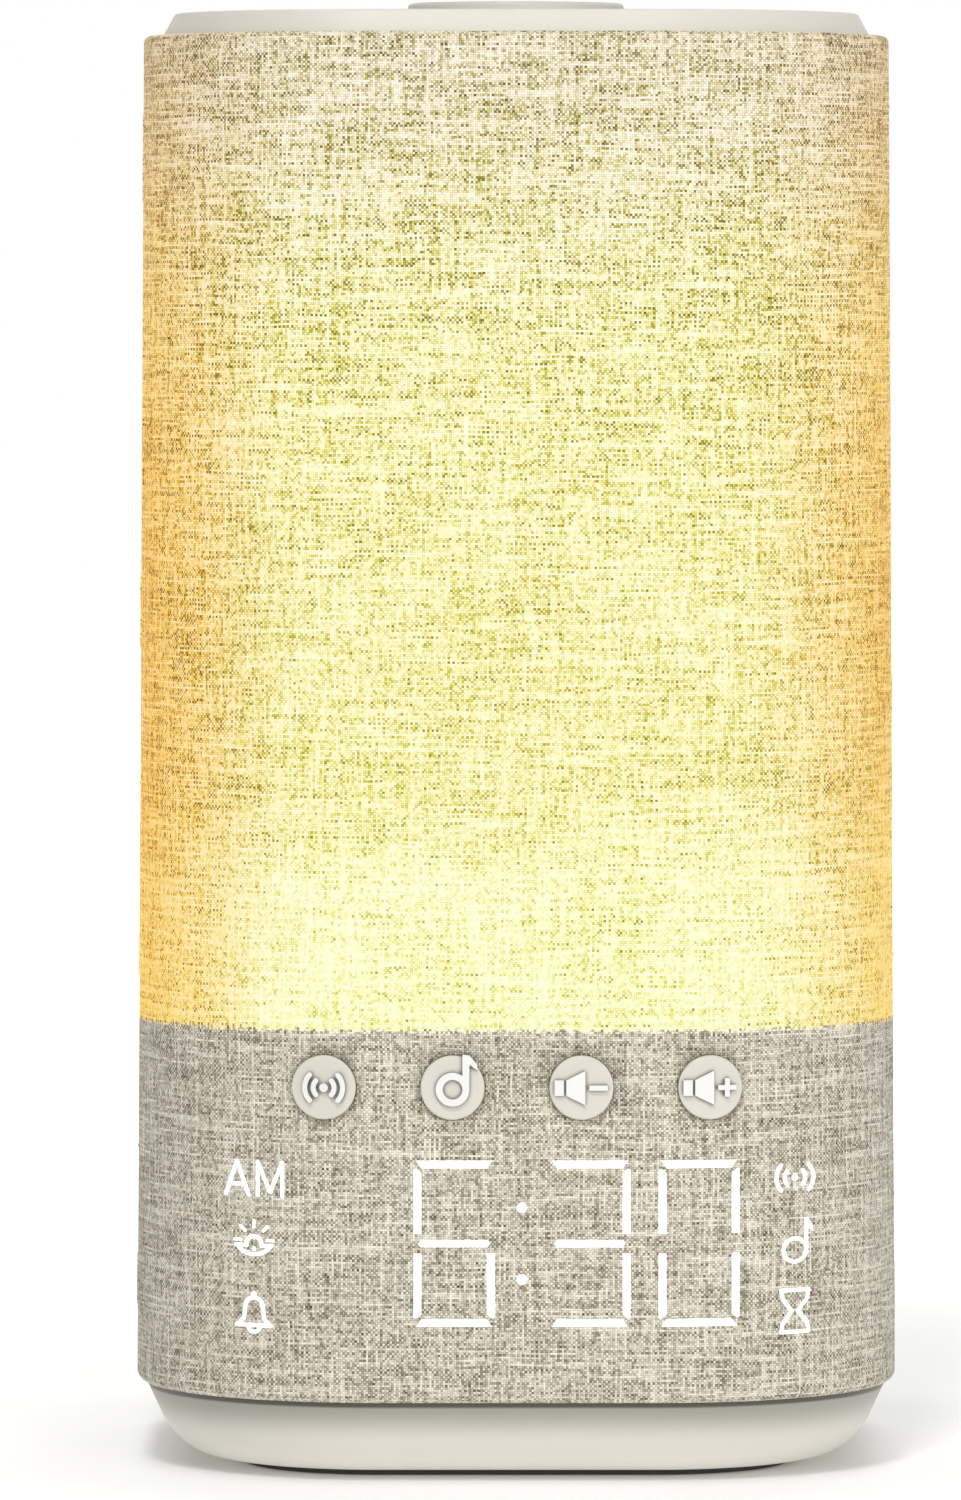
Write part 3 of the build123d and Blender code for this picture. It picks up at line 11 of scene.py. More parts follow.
import bmesh
import bpy
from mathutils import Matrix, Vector
from mathutils.geometry import delaunay_2d_cdt


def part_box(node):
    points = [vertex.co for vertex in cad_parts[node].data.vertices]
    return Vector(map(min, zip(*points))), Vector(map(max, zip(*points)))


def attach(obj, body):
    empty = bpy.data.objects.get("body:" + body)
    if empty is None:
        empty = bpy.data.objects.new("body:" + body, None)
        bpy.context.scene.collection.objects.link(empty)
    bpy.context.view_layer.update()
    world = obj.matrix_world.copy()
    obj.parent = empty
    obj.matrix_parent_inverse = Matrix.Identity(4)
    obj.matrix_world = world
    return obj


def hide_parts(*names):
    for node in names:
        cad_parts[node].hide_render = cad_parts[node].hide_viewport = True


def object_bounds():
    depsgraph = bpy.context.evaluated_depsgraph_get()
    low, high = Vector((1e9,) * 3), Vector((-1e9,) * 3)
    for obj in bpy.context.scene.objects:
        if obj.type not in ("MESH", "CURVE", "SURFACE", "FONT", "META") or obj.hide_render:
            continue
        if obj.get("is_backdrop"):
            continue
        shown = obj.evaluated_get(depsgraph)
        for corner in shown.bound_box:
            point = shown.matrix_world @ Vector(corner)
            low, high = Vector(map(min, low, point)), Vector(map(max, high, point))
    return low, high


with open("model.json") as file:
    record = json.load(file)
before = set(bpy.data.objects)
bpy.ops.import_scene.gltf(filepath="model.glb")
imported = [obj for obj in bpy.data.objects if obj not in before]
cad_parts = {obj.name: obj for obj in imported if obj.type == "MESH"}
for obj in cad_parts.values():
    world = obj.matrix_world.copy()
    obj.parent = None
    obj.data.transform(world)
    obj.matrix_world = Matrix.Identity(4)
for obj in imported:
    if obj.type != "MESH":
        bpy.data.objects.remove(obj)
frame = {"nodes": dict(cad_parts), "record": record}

MM = 0.001
cad_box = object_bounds()
print("the frame is", [round(side / MM, 1) for side in cad_box[1] - cad_box[0]], "mm")

# %% [markdown]
# ## Camera
# A small product is pictured from well back with a long lens, so that its level edges bend only a
# little. The camera stands 1.38 m in front of the column's middle, above mid height, and looks
# slightly down. It needs no shift and no depth of field.

# %% Camera
CAMERA_PLACE = Vector((-4.7, -1380.0, 153.0)) * MM
CAMERA_DOWN = 2.488         # degrees below level
CAMERA_LENS = 248.4         # on a sensor 36 mm along the picture's long side

camera_data = bpy.data.cameras.new("camera")
camera_data.lens = CAMERA_LENS
camera = bpy.data.objects.new("camera", camera_data)
camera.location = CAMERA_PLACE
camera.rotation_euler = (math.radians(90 - CAMERA_DOWN), 0, 0)
bpy.context.scene.collection.objects.link(camera)
bpy.context.scene.camera = camera
bpy.context.scene.view_settings.view_transform = "Standard"

# %% [markdown]
# ## Node helpers
# Materials are small graphs, and these helpers keep them short. They add a node and feed it, do
# sums, and turn the red, green and blue that a colour picker shows into the linear light that a
# shader works in.

# %% Node helpers
def plug(tree, source, socket):
    """Feeds a socket from another one, or sets it to a value."""
    if isinstance(source, bpy.types.NodeSocket):
        tree.links.new(source, socket)
    elif source is not None:
        socket.default_value = source


def add(tree, kind, feeds=(), **settings):
    """A node with its settings made and its sockets fed."""
    made = tree.nodes.new(kind)
    for name, value in settings.items():
        setattr(made, name, value)
    for where, source in feeds.items() if isinstance(feeds, dict) else enumerate(feeds):
        plug(tree, source, made.inputs[where])
    return made


def sums(tree, operation, *feeds):
    return add(tree, "ShaderNodeMath", feeds, operation=operation).outputs[0]


def vector(tree, operation, *feeds, **named):
    """A sum of vectors. Its scale, where it has one, goes by name."""
    feeds = dict(enumerate(feeds)) | named
    return add(tree, "ShaderNodeVectorMath", feeds, operation=operation).outputs[0]


def times(tree, first, second):
    return sums(tree, "MULTIPLY", first, second)


def between(tree, value, low, high, start=0.0, end=1.0):
    """A soft step: start below low, end above high."""
    made = add(tree, "ShaderNodeMapRange", (value, low, high, start, end), interpolation_type="SMOOTHSTEP")
    return made.outputs[0]


def noise(tree, place, scale, detail=2.0):
    feeds = {"Vector": place, "Scale": scale, "Detail": detail}
    return add(tree, "ShaderNodeTexNoise", feeds).outputs["Fac"]


def linear(red, green, blue):
    """A colour from its 0 to 255 display values."""
    share = [v / 255 for v in (red, green, blue)]
    return [v / 12.92 if v <= 0.04045 else ((v + 0.055) / 1.055) ** 2.4 for v in share] + [1.0]


def blend_colours(tree, share, first, second, mode="MIX"):
    made = add(tree, "ShaderNodeMix", data_type="RGBA", blend_type=mode)
    for where, source in ((0, share), (6, first), (7, second)):
        plug(tree, source, made.inputs[where])
    return made.outputs[2]


def ramp(tree, value, stops):
    """Colours along a value, as (place, colour) pairs, where one number is a grey."""
    made = add(tree, "ShaderNodeValToRGB", (value,))
    elements = made.color_ramp.elements
    elements.remove(elements[0])
    elements[0].position = stops[0][0]
    for n, (place, colour) in enumerate(stops):
        element = elements.new(place) if n else elements[0]
        element.color = (*colour, 1)[:4] if isinstance(colour, (tuple, list)) else (colour,) * 3 + (1,)
    return made.outputs[0]


def new_group(name, inputs, outputs):
    """A shader group with named sockets. Returns it with its inside sources and sinks."""
    group = bpy.data.node_groups.new(name, "ShaderNodeTree")
    for label, kind, value in inputs:
        socket = group.interface.new_socket(label, in_out="INPUT", socket_type="NodeSocket" + kind)
        socket.default_value = value
    for label, kind in outputs:
        group.interface.new_socket(label, in_out="OUTPUT", socket_type="NodeSocket" + kind)
    return group, group.nodes.new("NodeGroupInput").outputs, group.nodes.new("NodeGroupOutput").inputs


def use_group(tree, group, **feeds):
    made = add(tree, "ShaderNodeGroup", node_tree=group)
    for name, source in feeds.items():
        plug(tree, source, made.inputs[name])
    return made.outputs


def new_material(name, **settings):
    """A material with its Principled shader, whose plain values are set by socket name."""
    material = bpy.data.materials.new(name)
    material.use_nodes = True
    shader = material.node_tree.nodes["Principled BSDF"]
    for label, value in settings.items():
        shader.inputs[label.replace("_", " ")].default_value = value
    return material, material.node_tree, shader


def bump(tree, shader, height, depth):
    """Relief of a depth in metres from a height between 0 and 1."""
    made = add(tree, "ShaderNodeBump", {"Height": height, "Distance": depth, "Strength": 1.0})
    tree.links.new(made.outputs[0], shader.inputs["Normal"])


# %% [markdown]
# ## The column's shape
# The sleeve follows a rounded square that leans in slightly towards the top. Every level has the
# same four corner centres, so the corner radius shrinks with the lean. The cloth is drawn flat, as
# it was cut, and wrapped round this shape, so one pair of functions serves the cloth, its seam and
# its yarns.

# %% The column's shape
HALF_FOOT = 50.0            # half the width at the foot of the cloth
HALF_RIM = 48.9
CORNER_CENTRE = 18.0
CORNER_MEAN = 31.5          # corner radius that the flat cloth is cut for
CLOTH = 0.8
CLOTH_TURN = 3.2            # how far the cloth turns in over both ends of the shade
FOOT_HEM = 1.6
RIM_HEM = 0.9

sleeve_low, sleeve_high = (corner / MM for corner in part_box("fabric_sleeve"))
foot_z, rim_z = sleeve_low.z, sleeve_high.z
quarter = 2 * CORNER_CENTRE + CORNER_MEAN * math.pi / 2
around = 4 * quarter


def half_width(z):
    return HALF_FOOT + (HALF_RIM - HALF_FOOT) * (z - foot_z) / (rim_z - foot_z)


def on_column(along, z, inset=0.0):
    """The point of the column at a distance round it from the middle of the front."""
    side = round(along / quarter)
    local = along - side * quarter
    radius = half_width(z) - inset - CORNER_CENTRE
    angle = max(0.0, abs(local) - CORNER_CENTRE) / CORNER_MEAN
    x = min(abs(local), CORNER_CENTRE) + radius * math.sin(angle)
    point = Vector((math.copysign(x, local), -CORNER_CENTRE - radius * math.cos(angle), z))
    turn = math.radians(90 * side)
    return Vector((point.x * math.cos(turn) - point.y * math.sin(turn),
                   point.x * math.sin(turn) + point.y * math.cos(turn), z))


def along_from_x(x, z):
    """The distance round the column at which something seen from the front at x lies."""
    over = max(0.0, abs(x) - CORNER_CENTRE) / (half_width(z) - CORNER_CENTRE)
    return math.copysign(min(abs(x), CORNER_CENTRE) + CORNER_MEAN * math.asin(over), x)


print("the cloth goes", round(around, 1), "mm round the column, from", round(foot_z, 1),
      "to", round(rim_z, 1))

# %% [markdown]
# ## The sleeve as a flat cut
# The sleeve could be a copy of the frame's solid, but that has no thread direction. Here it is
# built from its flat cut instead. A grid of quads is crossed with the outlines of the key holes,
# the power inlet and the lit figures, by a constrained triangulation, and then wrapped. The flat
# place of each corner becomes its UV, so the weave runs with the cloth, and the faces over a lit
# figure get a material of their own: they are the cloth where the display shines through.

# %% Outlines in the flat cut
KEY_HOLE = 4.22             # radius, close round the keys
KEY_NAMES = ("wireless_key", "sound_key", "volume_down_key", "volume_up_key")
BEZEL_LIP = 1.2             # the inlet's lip covers this much cloth


def circle(x, z, radius, steps=48):
    turns = [2 * math.pi * n / steps for n in range(steps)]
    return [(along_from_x(x + radius * math.cos(t), z + radius * math.sin(t)), z + radius * math.sin(t))
            for t in turns]


def key_hole(name):
    low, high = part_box(name)
    middle = (low + high) / 2 / MM
    return circle(middle.x, (low.z + high.z) / 2 / MM, KEY_HOLE)


def inlet_hole(steps=12):
    """A slot with round ends, drawn at the middle of the back."""
    low, high = (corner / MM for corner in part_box("port_bezel"))
    end = (high.z - low.z) / 2 - BEZEL_LIP
    reach = (high.x - low.x) / 2 - BEZEL_LIP - end
    z = (low.z + high.z) / 2
    turns = [math.pi * (n / steps - 0.5) for n in range(steps + 1)]
    right = [(reach + end * math.cos(t), z + end * math.sin(t)) for t in turns]
    return right + [(-x, 2 * z - y) for x, y in right]


def facing_outlines(node):
    """Closed outlines of the faces of a node that look forwards, as (x, z) in millimetres."""
    piece = bmesh.new()
    piece.from_mesh(frame["nodes"][node].data)
    bmesh.ops.remove_doubles(piece, verts=piece.verts, dist=1e-7)
    front = {face for face in piece.faces if face.normal.y < -0.5}
    edges = [edge for edge in piece.edges if sum(face in front for face in edge.link_faces) == 1]
    nexts = {}
    for edge in edges:
        for here, there in (edge.verts, reversed(edge.verts)):
            nexts.setdefault(here, []).append(there)
    loops = []
    while nexts:
        here, before = next(iter(nexts)), None
        loop = []
        while here in nexts:
            loop.append((here.co.x / MM, here.co.z / MM))
            onwards = [there for there in nexts.pop(here) if there is not before]
            before, here = here, onwards[0]
        loops.append(loop)
    piece.free()
    return loops


def to_flat(loop):
    return [(along_from_x(x, z), z) for x, z in loop]


key_holes = [key_hole(name) for name in KEY_NAMES]
figures = [to_flat(loop) for loop in facing_outlines("display_lit_lenses")]
print(len(figures), "outlines of lit figures with", sum(map(len, figures)), "points")

# %% [markdown]
# ## How the cloth turns in
# The sleeve is stretched over the shade and glued to its ends, so it rolls over a small radius at
# the foot and a smaller one at the rim, and runs inwards. Height on the flat cut is the same as
# height on the column, except in these turns, where it goes on along the cloth.

# %% From the flat cut to the column
turn_starts = (foot_z + FOOT_HEM, rim_z - RIM_HEM)
cut_low = turn_starts[0] - FOOT_HEM * math.pi / 2 - (CLOTH_TURN - FOOT_HEM)
cut_high = turn_starts[1] + RIM_HEM * math.pi / 2 + (CLOTH_TURN - RIM_HEM)


def turned(past, radius):
    """Inset and rise of the cloth at a distance past the start of a turn of a radius."""
    angle = min(past / radius, math.pi / 2)
    inset = radius * (1 - math.cos(angle)) + max(0.0, past - radius * math.pi / 2)
    return inset, radius * math.sin(angle)


def wrap(along, height, lift=0.0):
    """The place on the column, in metres, of a point of the flat cut lifted off the cloth."""
    inset, z = 0.0, height
    if height < turn_starts[0]:
        inset, rise = turned(turn_starts[0] - height, FOOT_HEM)
        z = turn_starts[0] - rise
    elif height > turn_starts[1]:
        inset, rise = turned(height - turn_starts[1], RIM_HEM)
        z = turn_starts[1] + rise
    return on_column(along, z, inset - lift) * MM


def steps_between(start, end, count):
    return [start + (end - start) * n / count for n in range(count)]


columns = []
for side in (-2, -1, 0, 1, 2):
    middle = side * quarter
    if side > -2:
        columns += steps_between(middle - CORNER_CENTRE, middle, 6)
    if side < 2:
        columns += steps_between(middle, middle + CORNER_CENTRE, 6)
        columns += steps_between(middle + CORNER_CENTRE, middle + quarter - CORNER_CENTRE, 24)
columns.append(around / 2)

foot_roll, rim_roll = FOOT_HEM * math.pi / 2, RIM_HEM * math.pi / 2
rows = [cut_low] + steps_between(turn_starts[0] - foot_roll, turn_starts[0], 5)
rows += steps_between(*turn_starts, 30)
rows += steps_between(turn_starts[1], turn_starts[1] + rim_roll, 4)
rows += [turn_starts[1] + rim_roll, cut_high]
print("a grid of", len(columns), "by", len(rows), "lines on a cut of",
      round(around, 1), "by", round(cut_high - cut_low, 1), "mm")

# %% Cut, wrap and thicken the sleeve
LINEN, FIGURE = 0, 1


def cut_sleeve():
    points, loops, kinds = [], [], []
    for height in rows:
        points += [(along, height) for along in columns]
    wide = len(columns)
    for row in range(len(rows) - 1):
        for column in range(wide - 1):
            corner = row * wide + column
            loops.append([corner, corner + 1, corner + wide + 1, corner + wide])
            kinds.append("cloth")

    def outline(loop, kind):
        start = len(points)
        points.extend(loop)
        loops.append(list(range(start, start + len(loop))))
        kinds.append(kind)

    for loop in key_holes:
        outline(loop, "hole")
    slot = inlet_hole()
    half = len(slot) // 2
    outline([(x - around / 2, z) for x, z in slot[:half]], "hole")
    outline([(x + around / 2, z) for x, z in slot[half:]], "hole")
    for loop in figures:
        outline(loop, "figure")
    places, _, faces, _, _, sources = delaunay_2d_cdt(
        [Vector(p) for p in points], [], loops, 4, 1e-4, True)

    made = bmesh.new()
    flat = made.loops.layers.uv.new("flat")
    corners = [made.verts.new(wrap(*place)) for place in places]
    lit = 0
    for face, source in zip(faces, sources):
        inside = [kinds[n] for n in source]
        if "hole" in inside or "cloth" not in inside:
            continue
        # a figure with an island in it, such as a 0, has its middle inside two outlines
        in_figure = inside.count("figure") % 2 == 1
        built = made.faces.new([corners[n] for n in face])
        built.material_index = FIGURE if in_figure else LINEN
        built.smooth = True
        lit += in_figure
        for loop, n in zip(built.loops, face):
            loop[flat].uv = places[n]
    bmesh.ops.remove_doubles(made, verts=made.verts, dist=1e-6)
    bmesh.ops.delete(made, geom=[v for v in made.verts if not v.link_faces], context="VERTS")
    mesh = bpy.data.meshes.new("linen_sleeve")
    made.to_mesh(mesh)
    open_edges = sum(len(edge.link_faces) == 1 for edge in made.edges)
    made.free()
    print(len(mesh.polygons), "faces,", lit, "of them over lit figures,", open_edges, "open edges")
    return mesh


sleeve = bpy.data.objects.new("linen_sleeve", cut_sleeve())
bpy.context.scene.collection.objects.link(sleeve)
thickness = sleeve.modifiers.new("thickness", "SOLIDIFY")
thickness.thickness = CLOTH * MM
thickness.offset = -1

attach(sleeve, "case")
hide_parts("fabric_sleeve")

# %% [markdown]
# ## Linen
# Plain-weave linen shows threads that go over and under each other, pits where they cross, and
# slubs: threads that swell and thin along their length. A picture of cloth would do it, but a
# weave is a rule, so the group below counts threads from the flat cut's UV. Each thread gets its
# own tone, which changes slowly along it, and the thread on top gives the tone of the place. The
# pits between the threads are darkened with painted shade.

# %% The weave
THREAD = 0.3                # from one thread to the next


def weave_group():
    tree, _, out = new_group("weave", [], [("Tone", "Float"), ("Height", "Float"), ("Grain", "Float")])
    flat = add(tree, "ShaderNodeUVMap", uv_map="flat").outputs[0]
    wander = add(tree, "ShaderNodeTexNoise", {"Vector": flat, "Scale": 0.15, "Detail": 2.0}).outputs["Color"]
    moved = vector(tree, "MULTIPLY_ADD", wander, (0.5, 0.5, 0.0), flat)
    axes = add(tree, "ShaderNodeSeparateXYZ", (moved,)).outputs

    def thread(across, along, seed, length):
        """Tone and round height of the threads that are side by side across and run along."""
        count = sums(tree, "DIVIDE", across, THREAD)
        number = sums(tree, "FLOOR", count)
        place = add(tree, "ShaderNodeCombineXYZ", (times(tree, number, 5.37),
                                                  sums(tree, "DIVIDE", along, length), seed)).outputs[0]
        tone = noise(tree, place, 1.0, 4.0)
        side = sums(tree, "SUBTRACT", sums(tree, "FRACT", count), 0.5)
        round_top = sums(tree, "SUBTRACT", 1.0, times(tree, times(tree, side, side), 3.4))
        return between(tree, tone, 0.3, 0.7), round_top, number

    warp, warp_top, column = thread(axes[0], axes[1], 1.7, 8.0)
    weft, weft_top, row = thread(axes[1], axes[0], 8.3, 10.0)
    crossing = add(tree, "ShaderNodeCombineXYZ", (column, row, 0.0)).outputs[0]
    grain = add(tree, "ShaderNodeTexWhiteNoise", {"Vector": crossing}, noise_dimensions="2D").outputs["Value"]
    over = sums(tree, "FLOORED_MODULO", sums(tree, "ADD", column, row), 2.0)
    warp_high = times(tree, warp_top, sums(tree, "MULTIPLY_ADD", over, 0.4, 0.6))
    weft_high = times(tree, weft_top, sums(tree, "MULTIPLY_ADD", over, -0.4, 1.0))
    height = sums(tree, "MAXIMUM", warp_high, weft_high)
    on_top = add(tree, "ShaderNodeMix", (over, None, weft, warp)).outputs[0]
    both = sums(tree, "ADD", warp, weft)
    mixed = sums(tree, "MULTIPLY_ADD", on_top, 0.19, sums(tree, "MULTIPLY_ADD", over, 0.17, 0.02))
    mixed = sums(tree, "MULTIPLY_ADD", both, 0.11, mixed)
    mixed = sums(tree, "MULTIPLY_ADD", grain, 0.36, mixed)
    slub = sums(tree, "ADD", between(tree, warp, 0.8, 1.0), between(tree, weft, 0.8, 1.0))
    mixed = sums(tree, "MULTIPLY_ADD", slub, 0.12, mixed)
    # painted shade: the tone is darkened where the threads dip into the pits between them
    pit = between(tree, height, 0.25, 0.8)
    painted_pit_shade = sums(tree, "MULTIPLY_ADD", sums(tree, "POWER", sums(tree, "SUBTRACT", 1.0, grain), 2.0), 0.7, 0.25)
    painted_pit_shade = times(tree, painted_pit_shade, sums(tree, "MULTIPLY_ADD", both, -0.35, 1.35))
    tone = times(tree, mixed, sums(
        tree, "SUBTRACT", 1.0, times(tree, painted_pit_shade, sums(tree, "SUBTRACT", 1.0, pit))))
    for name, source in (("Tone", tone), ("Height", height), ("Grain", grain)):
        tree.links.new(source, out[name])
    return tree


weave = weave_group()

# %% [markdown]
# ## Light behind the cloth
# A ring of warm lamps on the deck lights the shade from inside, so the cloth above the deck glows
# and the cloth below does not. Lamps inside a milky tube could do this, but the figures of the
# display and the crisp lower edge of the glow need a clean source, so the cloth itself gives off
# the light. The glow is palest just above the lamps, keeps on up the wall and fades towards the
# lid. At the corners it has further to go from the lamps and comes through the wall at a slant, so
# it turns amber there. That is worked out from the place on the column, not from the view, so it
# stays put when the clock is seen from another side. The front corners are more amber than the back
# ones, and the left ones a little more than the right ones.

# %% Cloth materials
DECK_Z = 58.9               # the deck; no light below
RAMP_HEIGHT = 200.0         # the height that a place of 1 on the fading ramps stands for


def object_place(tree):
    """Object coordinates in millimetres."""
    place = add(tree, "ShaderNodeTexCoord").outputs["Object"]
    return vector(tree, "SCALE", place, Scale=1 / MM)


def object_axes(tree):
    return add(tree, "ShaderNodeSeparateXYZ", (object_place(tree),)).outputs


def linen_material():
    material, tree, shader = new_material("linen", Roughness=0.92, Sheen_Weight=0.05, Sheen_Roughness=0.5)
    shader.inputs["Specular IOR Level"].default_value = 0.15
    found = use_group(tree, weave)
    tone, height = found["Tone"], found["Height"]
    x, y, z = object_axes(tree)
    high = between(tree, z, 110.0, 165.0)
    crisp = sums(tree, "MULTIPLY_ADD", tone, sums(tree, "MULTIPLY_ADD", high, 0.3, 1.0), sums(
        tree, "MULTIPLY", high, -0.13))
    own = ramp(tree, crisp, [
        (0.05, linear(74, 66, 50)), (0.3, linear(167, 159, 140)), (0.5, linear(217, 210, 193)),
        (0.8, linear(248, 243, 230))])
    jag = sums(tree, "MULTIPLY_ADD", sums(tree, "SUBTRACT", found["Grain"], 0.5), 0.7, z)
    lit = between(tree, jag, DECK_Z - 0.15, DECK_Z + 0.15)
    fade = ramp(tree, sums(tree, "DIVIDE", z, RAMP_HEIGHT), [
        (0.29, (0.96, 1, 1)), (0.395, (0.95, 0.98, 1.0)), (0.44, (0.93, 0.93, 0.95)),
        (0.54, (0.92, 0.92, 0.95)), (0.68, (0.94, 0.94, 1.0)), (0.75, (0.90, 0.90, 0.94)),
        (0.80, (0.82, 0.81, 0.88)), (0.88, (0.58, 0.55, 0.68)), (0.94, (0.34, 0.30, 0.32))])
    warm = ramp(tree, sums(tree, "DIVIDE", z, RAMP_HEIGHT), [
        (0.29, 1), (0.39, 1), (0.44, 0.84), (0.94, 0.86)])
    patches = noise(tree, add(tree, "ShaderNodeUVMap", uv_map="flat").outputs[0], 0.05)
    warm = times(tree, warm, between(tree, patches, 0.3, 0.7, 0.93, 1.05))
    through = times(tree, warm, sums(
        tree, "MULTIPLY_ADD", tone, sums(tree, "MULTIPLY_ADD", high, 0.35, 1.1),
        sums(tree, "MULTIPLY_ADD", high, -0.17, 0.25)))
    glow = ramp(tree, through, [
        (0.0, (0.03, 0.02, 0.0)), (0.3, (0.32, 0.25, 0.01)), (0.42, (0.68, 0.62, 0.06)),
        (0.5, (0.88, 0.82, 0.19)), (0.58, (0.97, 0.91, 0.40)), (0.66, (0.99, 0.95, 0.53)),
        (0.78, (1.0, 0.98, 0.56)), (1.0, (1.0, 1.0, 0.72))])
    amber = ramp(tree, sums(tree, "MULTIPLY_ADD", through, 1.3, -0.165), [
        (0.0, (0.02, 0.003, 0.0)), (0.32, (0.26, 0.12, 0.0)), (0.45, (0.60, 0.34, 0.0)),
        (0.56, (0.92, 0.56, 0.05)), (0.66, (0.99, 0.69, 0.18)), (0.87, (1.0, 0.78, 0.34)),
        (1.0, (1.0, 0.83, 0.41))])
    reach = between(tree, sums(tree, "ABSOLUTE", x), CORNER_CENTRE, CORNER_CENTRE + CORNER_MEAN)
    turn = sums(tree, "SUBTRACT", 1.0, sums(tree, "SQRT", sums(
        tree, "SUBTRACT", 1.0, times(tree, reach, reach))))
    flank = between(tree, sums(tree, "ABSOLUTE", y), 0.0, 28.0)
    turn = times(tree, turn, times(tree, flank, flank))
    paler = times(tree, between(tree, x, -30.0, 40.0), between(tree, z, 75.0, 110.0, 0.34, 0.14))
    softer = between(tree, y, -15.0, 20.0, 1.0, 0.5)
    share = times(tree, sums(tree, "SUBTRACT", 1.0, paler), between(tree, z, 120.0, 175.0, 1.0, 0.68))
    share = times(tree, share, softer)
    slant = ramp(tree, turn, [(0.0, 0), (0.06, 0.12), (0.25, 0.62), (0.44, 1)])
    rim = ramp(tree, times(tree, turn, softer), [
        (0.45, 1), (0.85, (0.98, 0.84, 0.55))])
    slant = times(tree, slant, share)
    shine = blend_colours(tree, 1.0, blend_colours(tree, slant, glow, amber), rim, "MULTIPLY")
    shine = blend_colours(tree, 1.0, shine, fade, "MULTIPLY")
    shine = blend_colours(tree, lit, (0, 0, 0, 1), shine)
    dim = sums(tree, "SUBTRACT", 1.0, times(tree, times(tree, lit, fade), 0.97))
    tree.links.new(blend_colours(tree, 1.0, own, dim, "MULTIPLY"), shader.inputs["Base Color"])
    tree.links.new(shine, shader.inputs["Emission Color"])
    shader.inputs["Emission Strength"].default_value = 1.0
    bump(tree, shader, height, 0.00012)
    return material


def figure_material():
    """The cloth over a lit figure: threads against a white light."""
    material, tree, shader = new_material("linen_over_figure", Roughness=0.92)
    shader.inputs["Specular IOR Level"].default_value = 0.15
    found = use_group(tree, weave)
    shine = ramp(tree, found["Tone"], [(0.0, (0.72, 0.72, 0.70, 1)), (0.4, (0.97, 0.97, 0.96, 1))])
    tree.links.new(shine, shader.inputs["Emission Color"])
    shader.inputs["Emission Strength"].default_value = 1.0
    shader.inputs["Base Color"].default_value = linear(150, 148, 140)
    bump(tree, shader, found["Height"], 0.00008)
    return material


sleeve.data.materials.append(linen_material())
sleeve.data.materials.append(figure_material())
print("cloth materials:", [m.name for m in sleeve.data.materials])

# %% [markdown]
# ## Moulded plastic and rubber
# The base, the lid and the keys are cream plastic moulded in a spark-eroded tool, which leaves a
# fine satin grain. Grain and a very slight mottling come from one group, set finer or coarser for
# each part. The raised signs on the front keys have a whiter top, and painted shade darkens the
# inner corners round them; the sunk signs on the lid hold a little painted shade. The base has a
# painted shade and a painted shadow line close under the hem of the cloth, by height.

# %% Moulded plastic
def moulded_group():
    tree, feed, out = new_group(
        "moulded", [("Grain", "Float", 0.3)], [("Tone", "Float"), ("Height", "Float")])
    scaled = object_place(tree)
    scale = sums(tree, "DIVIDE", 1.0, feed["Grain"])
    spark = add(tree, "ShaderNodeTexNoise", {
        "Vector": scaled, "Scale": scale, "Detail": 3.0, "Roughness": 0.6})
    mottle = noise(tree, scaled, 0.06)
    fine = sums(tree, "MULTIPLY_ADD", spark.outputs["Fac"], 0.05, 0.955)
    tree.links.new(sums(tree, "MULTIPLY_ADD", mottle, 0.04, fine), out["Tone"])
    tree.links.new(spark.outputs["Fac"], out["Height"])
    return tree


moulded = moulded_group()


def plastic(name, colour, roughness=0.45, grain=0.3, depth=0.000012, mark=None, painted_corner_shade=0.0, **settings):
    """Satin plastic. mark holds a mask and a colour for a part of it; painted shade darkens inner corners
    within the given reach in millimetres.
    """
    material, tree, shader = new_material(name, Roughness=roughness, **settings)
    found = use_group(tree, moulded, Grain=grain)
    base = linear(*colour)
    if mark:
        base = blend_colours(tree, mark[0](tree), base, linear(*mark[1]))
    if painted_corner_shade:
        # painted shade: the colour darkens where nearby surfaces close in round it
        near = add(tree, "ShaderNodeAmbientOcclusion", {"Distance": painted_corner_shade * MM}, samples=8, only_local=True)
        open_to_air = between(tree, near.outputs["AO"], 0.35, 0.95, 0.35, 1.0)
        base = blend_colours(tree, 1.0, base, open_to_air, "MULTIPLY")
    tree.links.new(blend_colours(tree, 1.0, base, found["Tone"], "MULTIPLY"), shader.inputs["Base Color"])
    bump(tree, shader, found["Height"], depth)
    return material


def stands_proud(by):
    """A mask of what stands further out of the column than a distance."""
    def mask(tree):
        x, y, z = object_axes(tree)
        out_x = sums(tree, "MAXIMUM", sums(tree, "SUBTRACT", sums(tree, "ABSOLUTE", x), CORNER_CENTRE), 0.0)
        out_y = sums(tree, "SUBTRACT", sums(tree, "ABSOLUTE", y), CORNER_CENTRE)
        squares = sums(tree, "ADD", times(tree, out_x, out_x), times(tree, out_y, out_y))
        lean = (HALF_FOOT - HALF_RIM) / (rim_z - foot_z)
        rise = sums(tree, "SUBTRACT", z, foot_z)
        radius = sums(tree, "MULTIPLY_ADD", rise, -lean, HALF_FOOT - CORNER_CENTRE)
        proud = sums(tree, "SUBTRACT", sums(tree, "SQRT", squares), radius)
        return between(tree, proud, by - 0.05, by + 0.05)
    return mask


def lies_below(z):
    return lambda tree: between(tree, object_axes(tree)[2], z - 0.03, z + 0.03, 1.0, 0.0)


# where the painted shade and the painted shadow line on the base begin and are full
SHADE_START, SHADOW_LINE_START, SHADOW_LINE_FULL = 5.6, 0.8, 0.4      # below the foot of the cloth


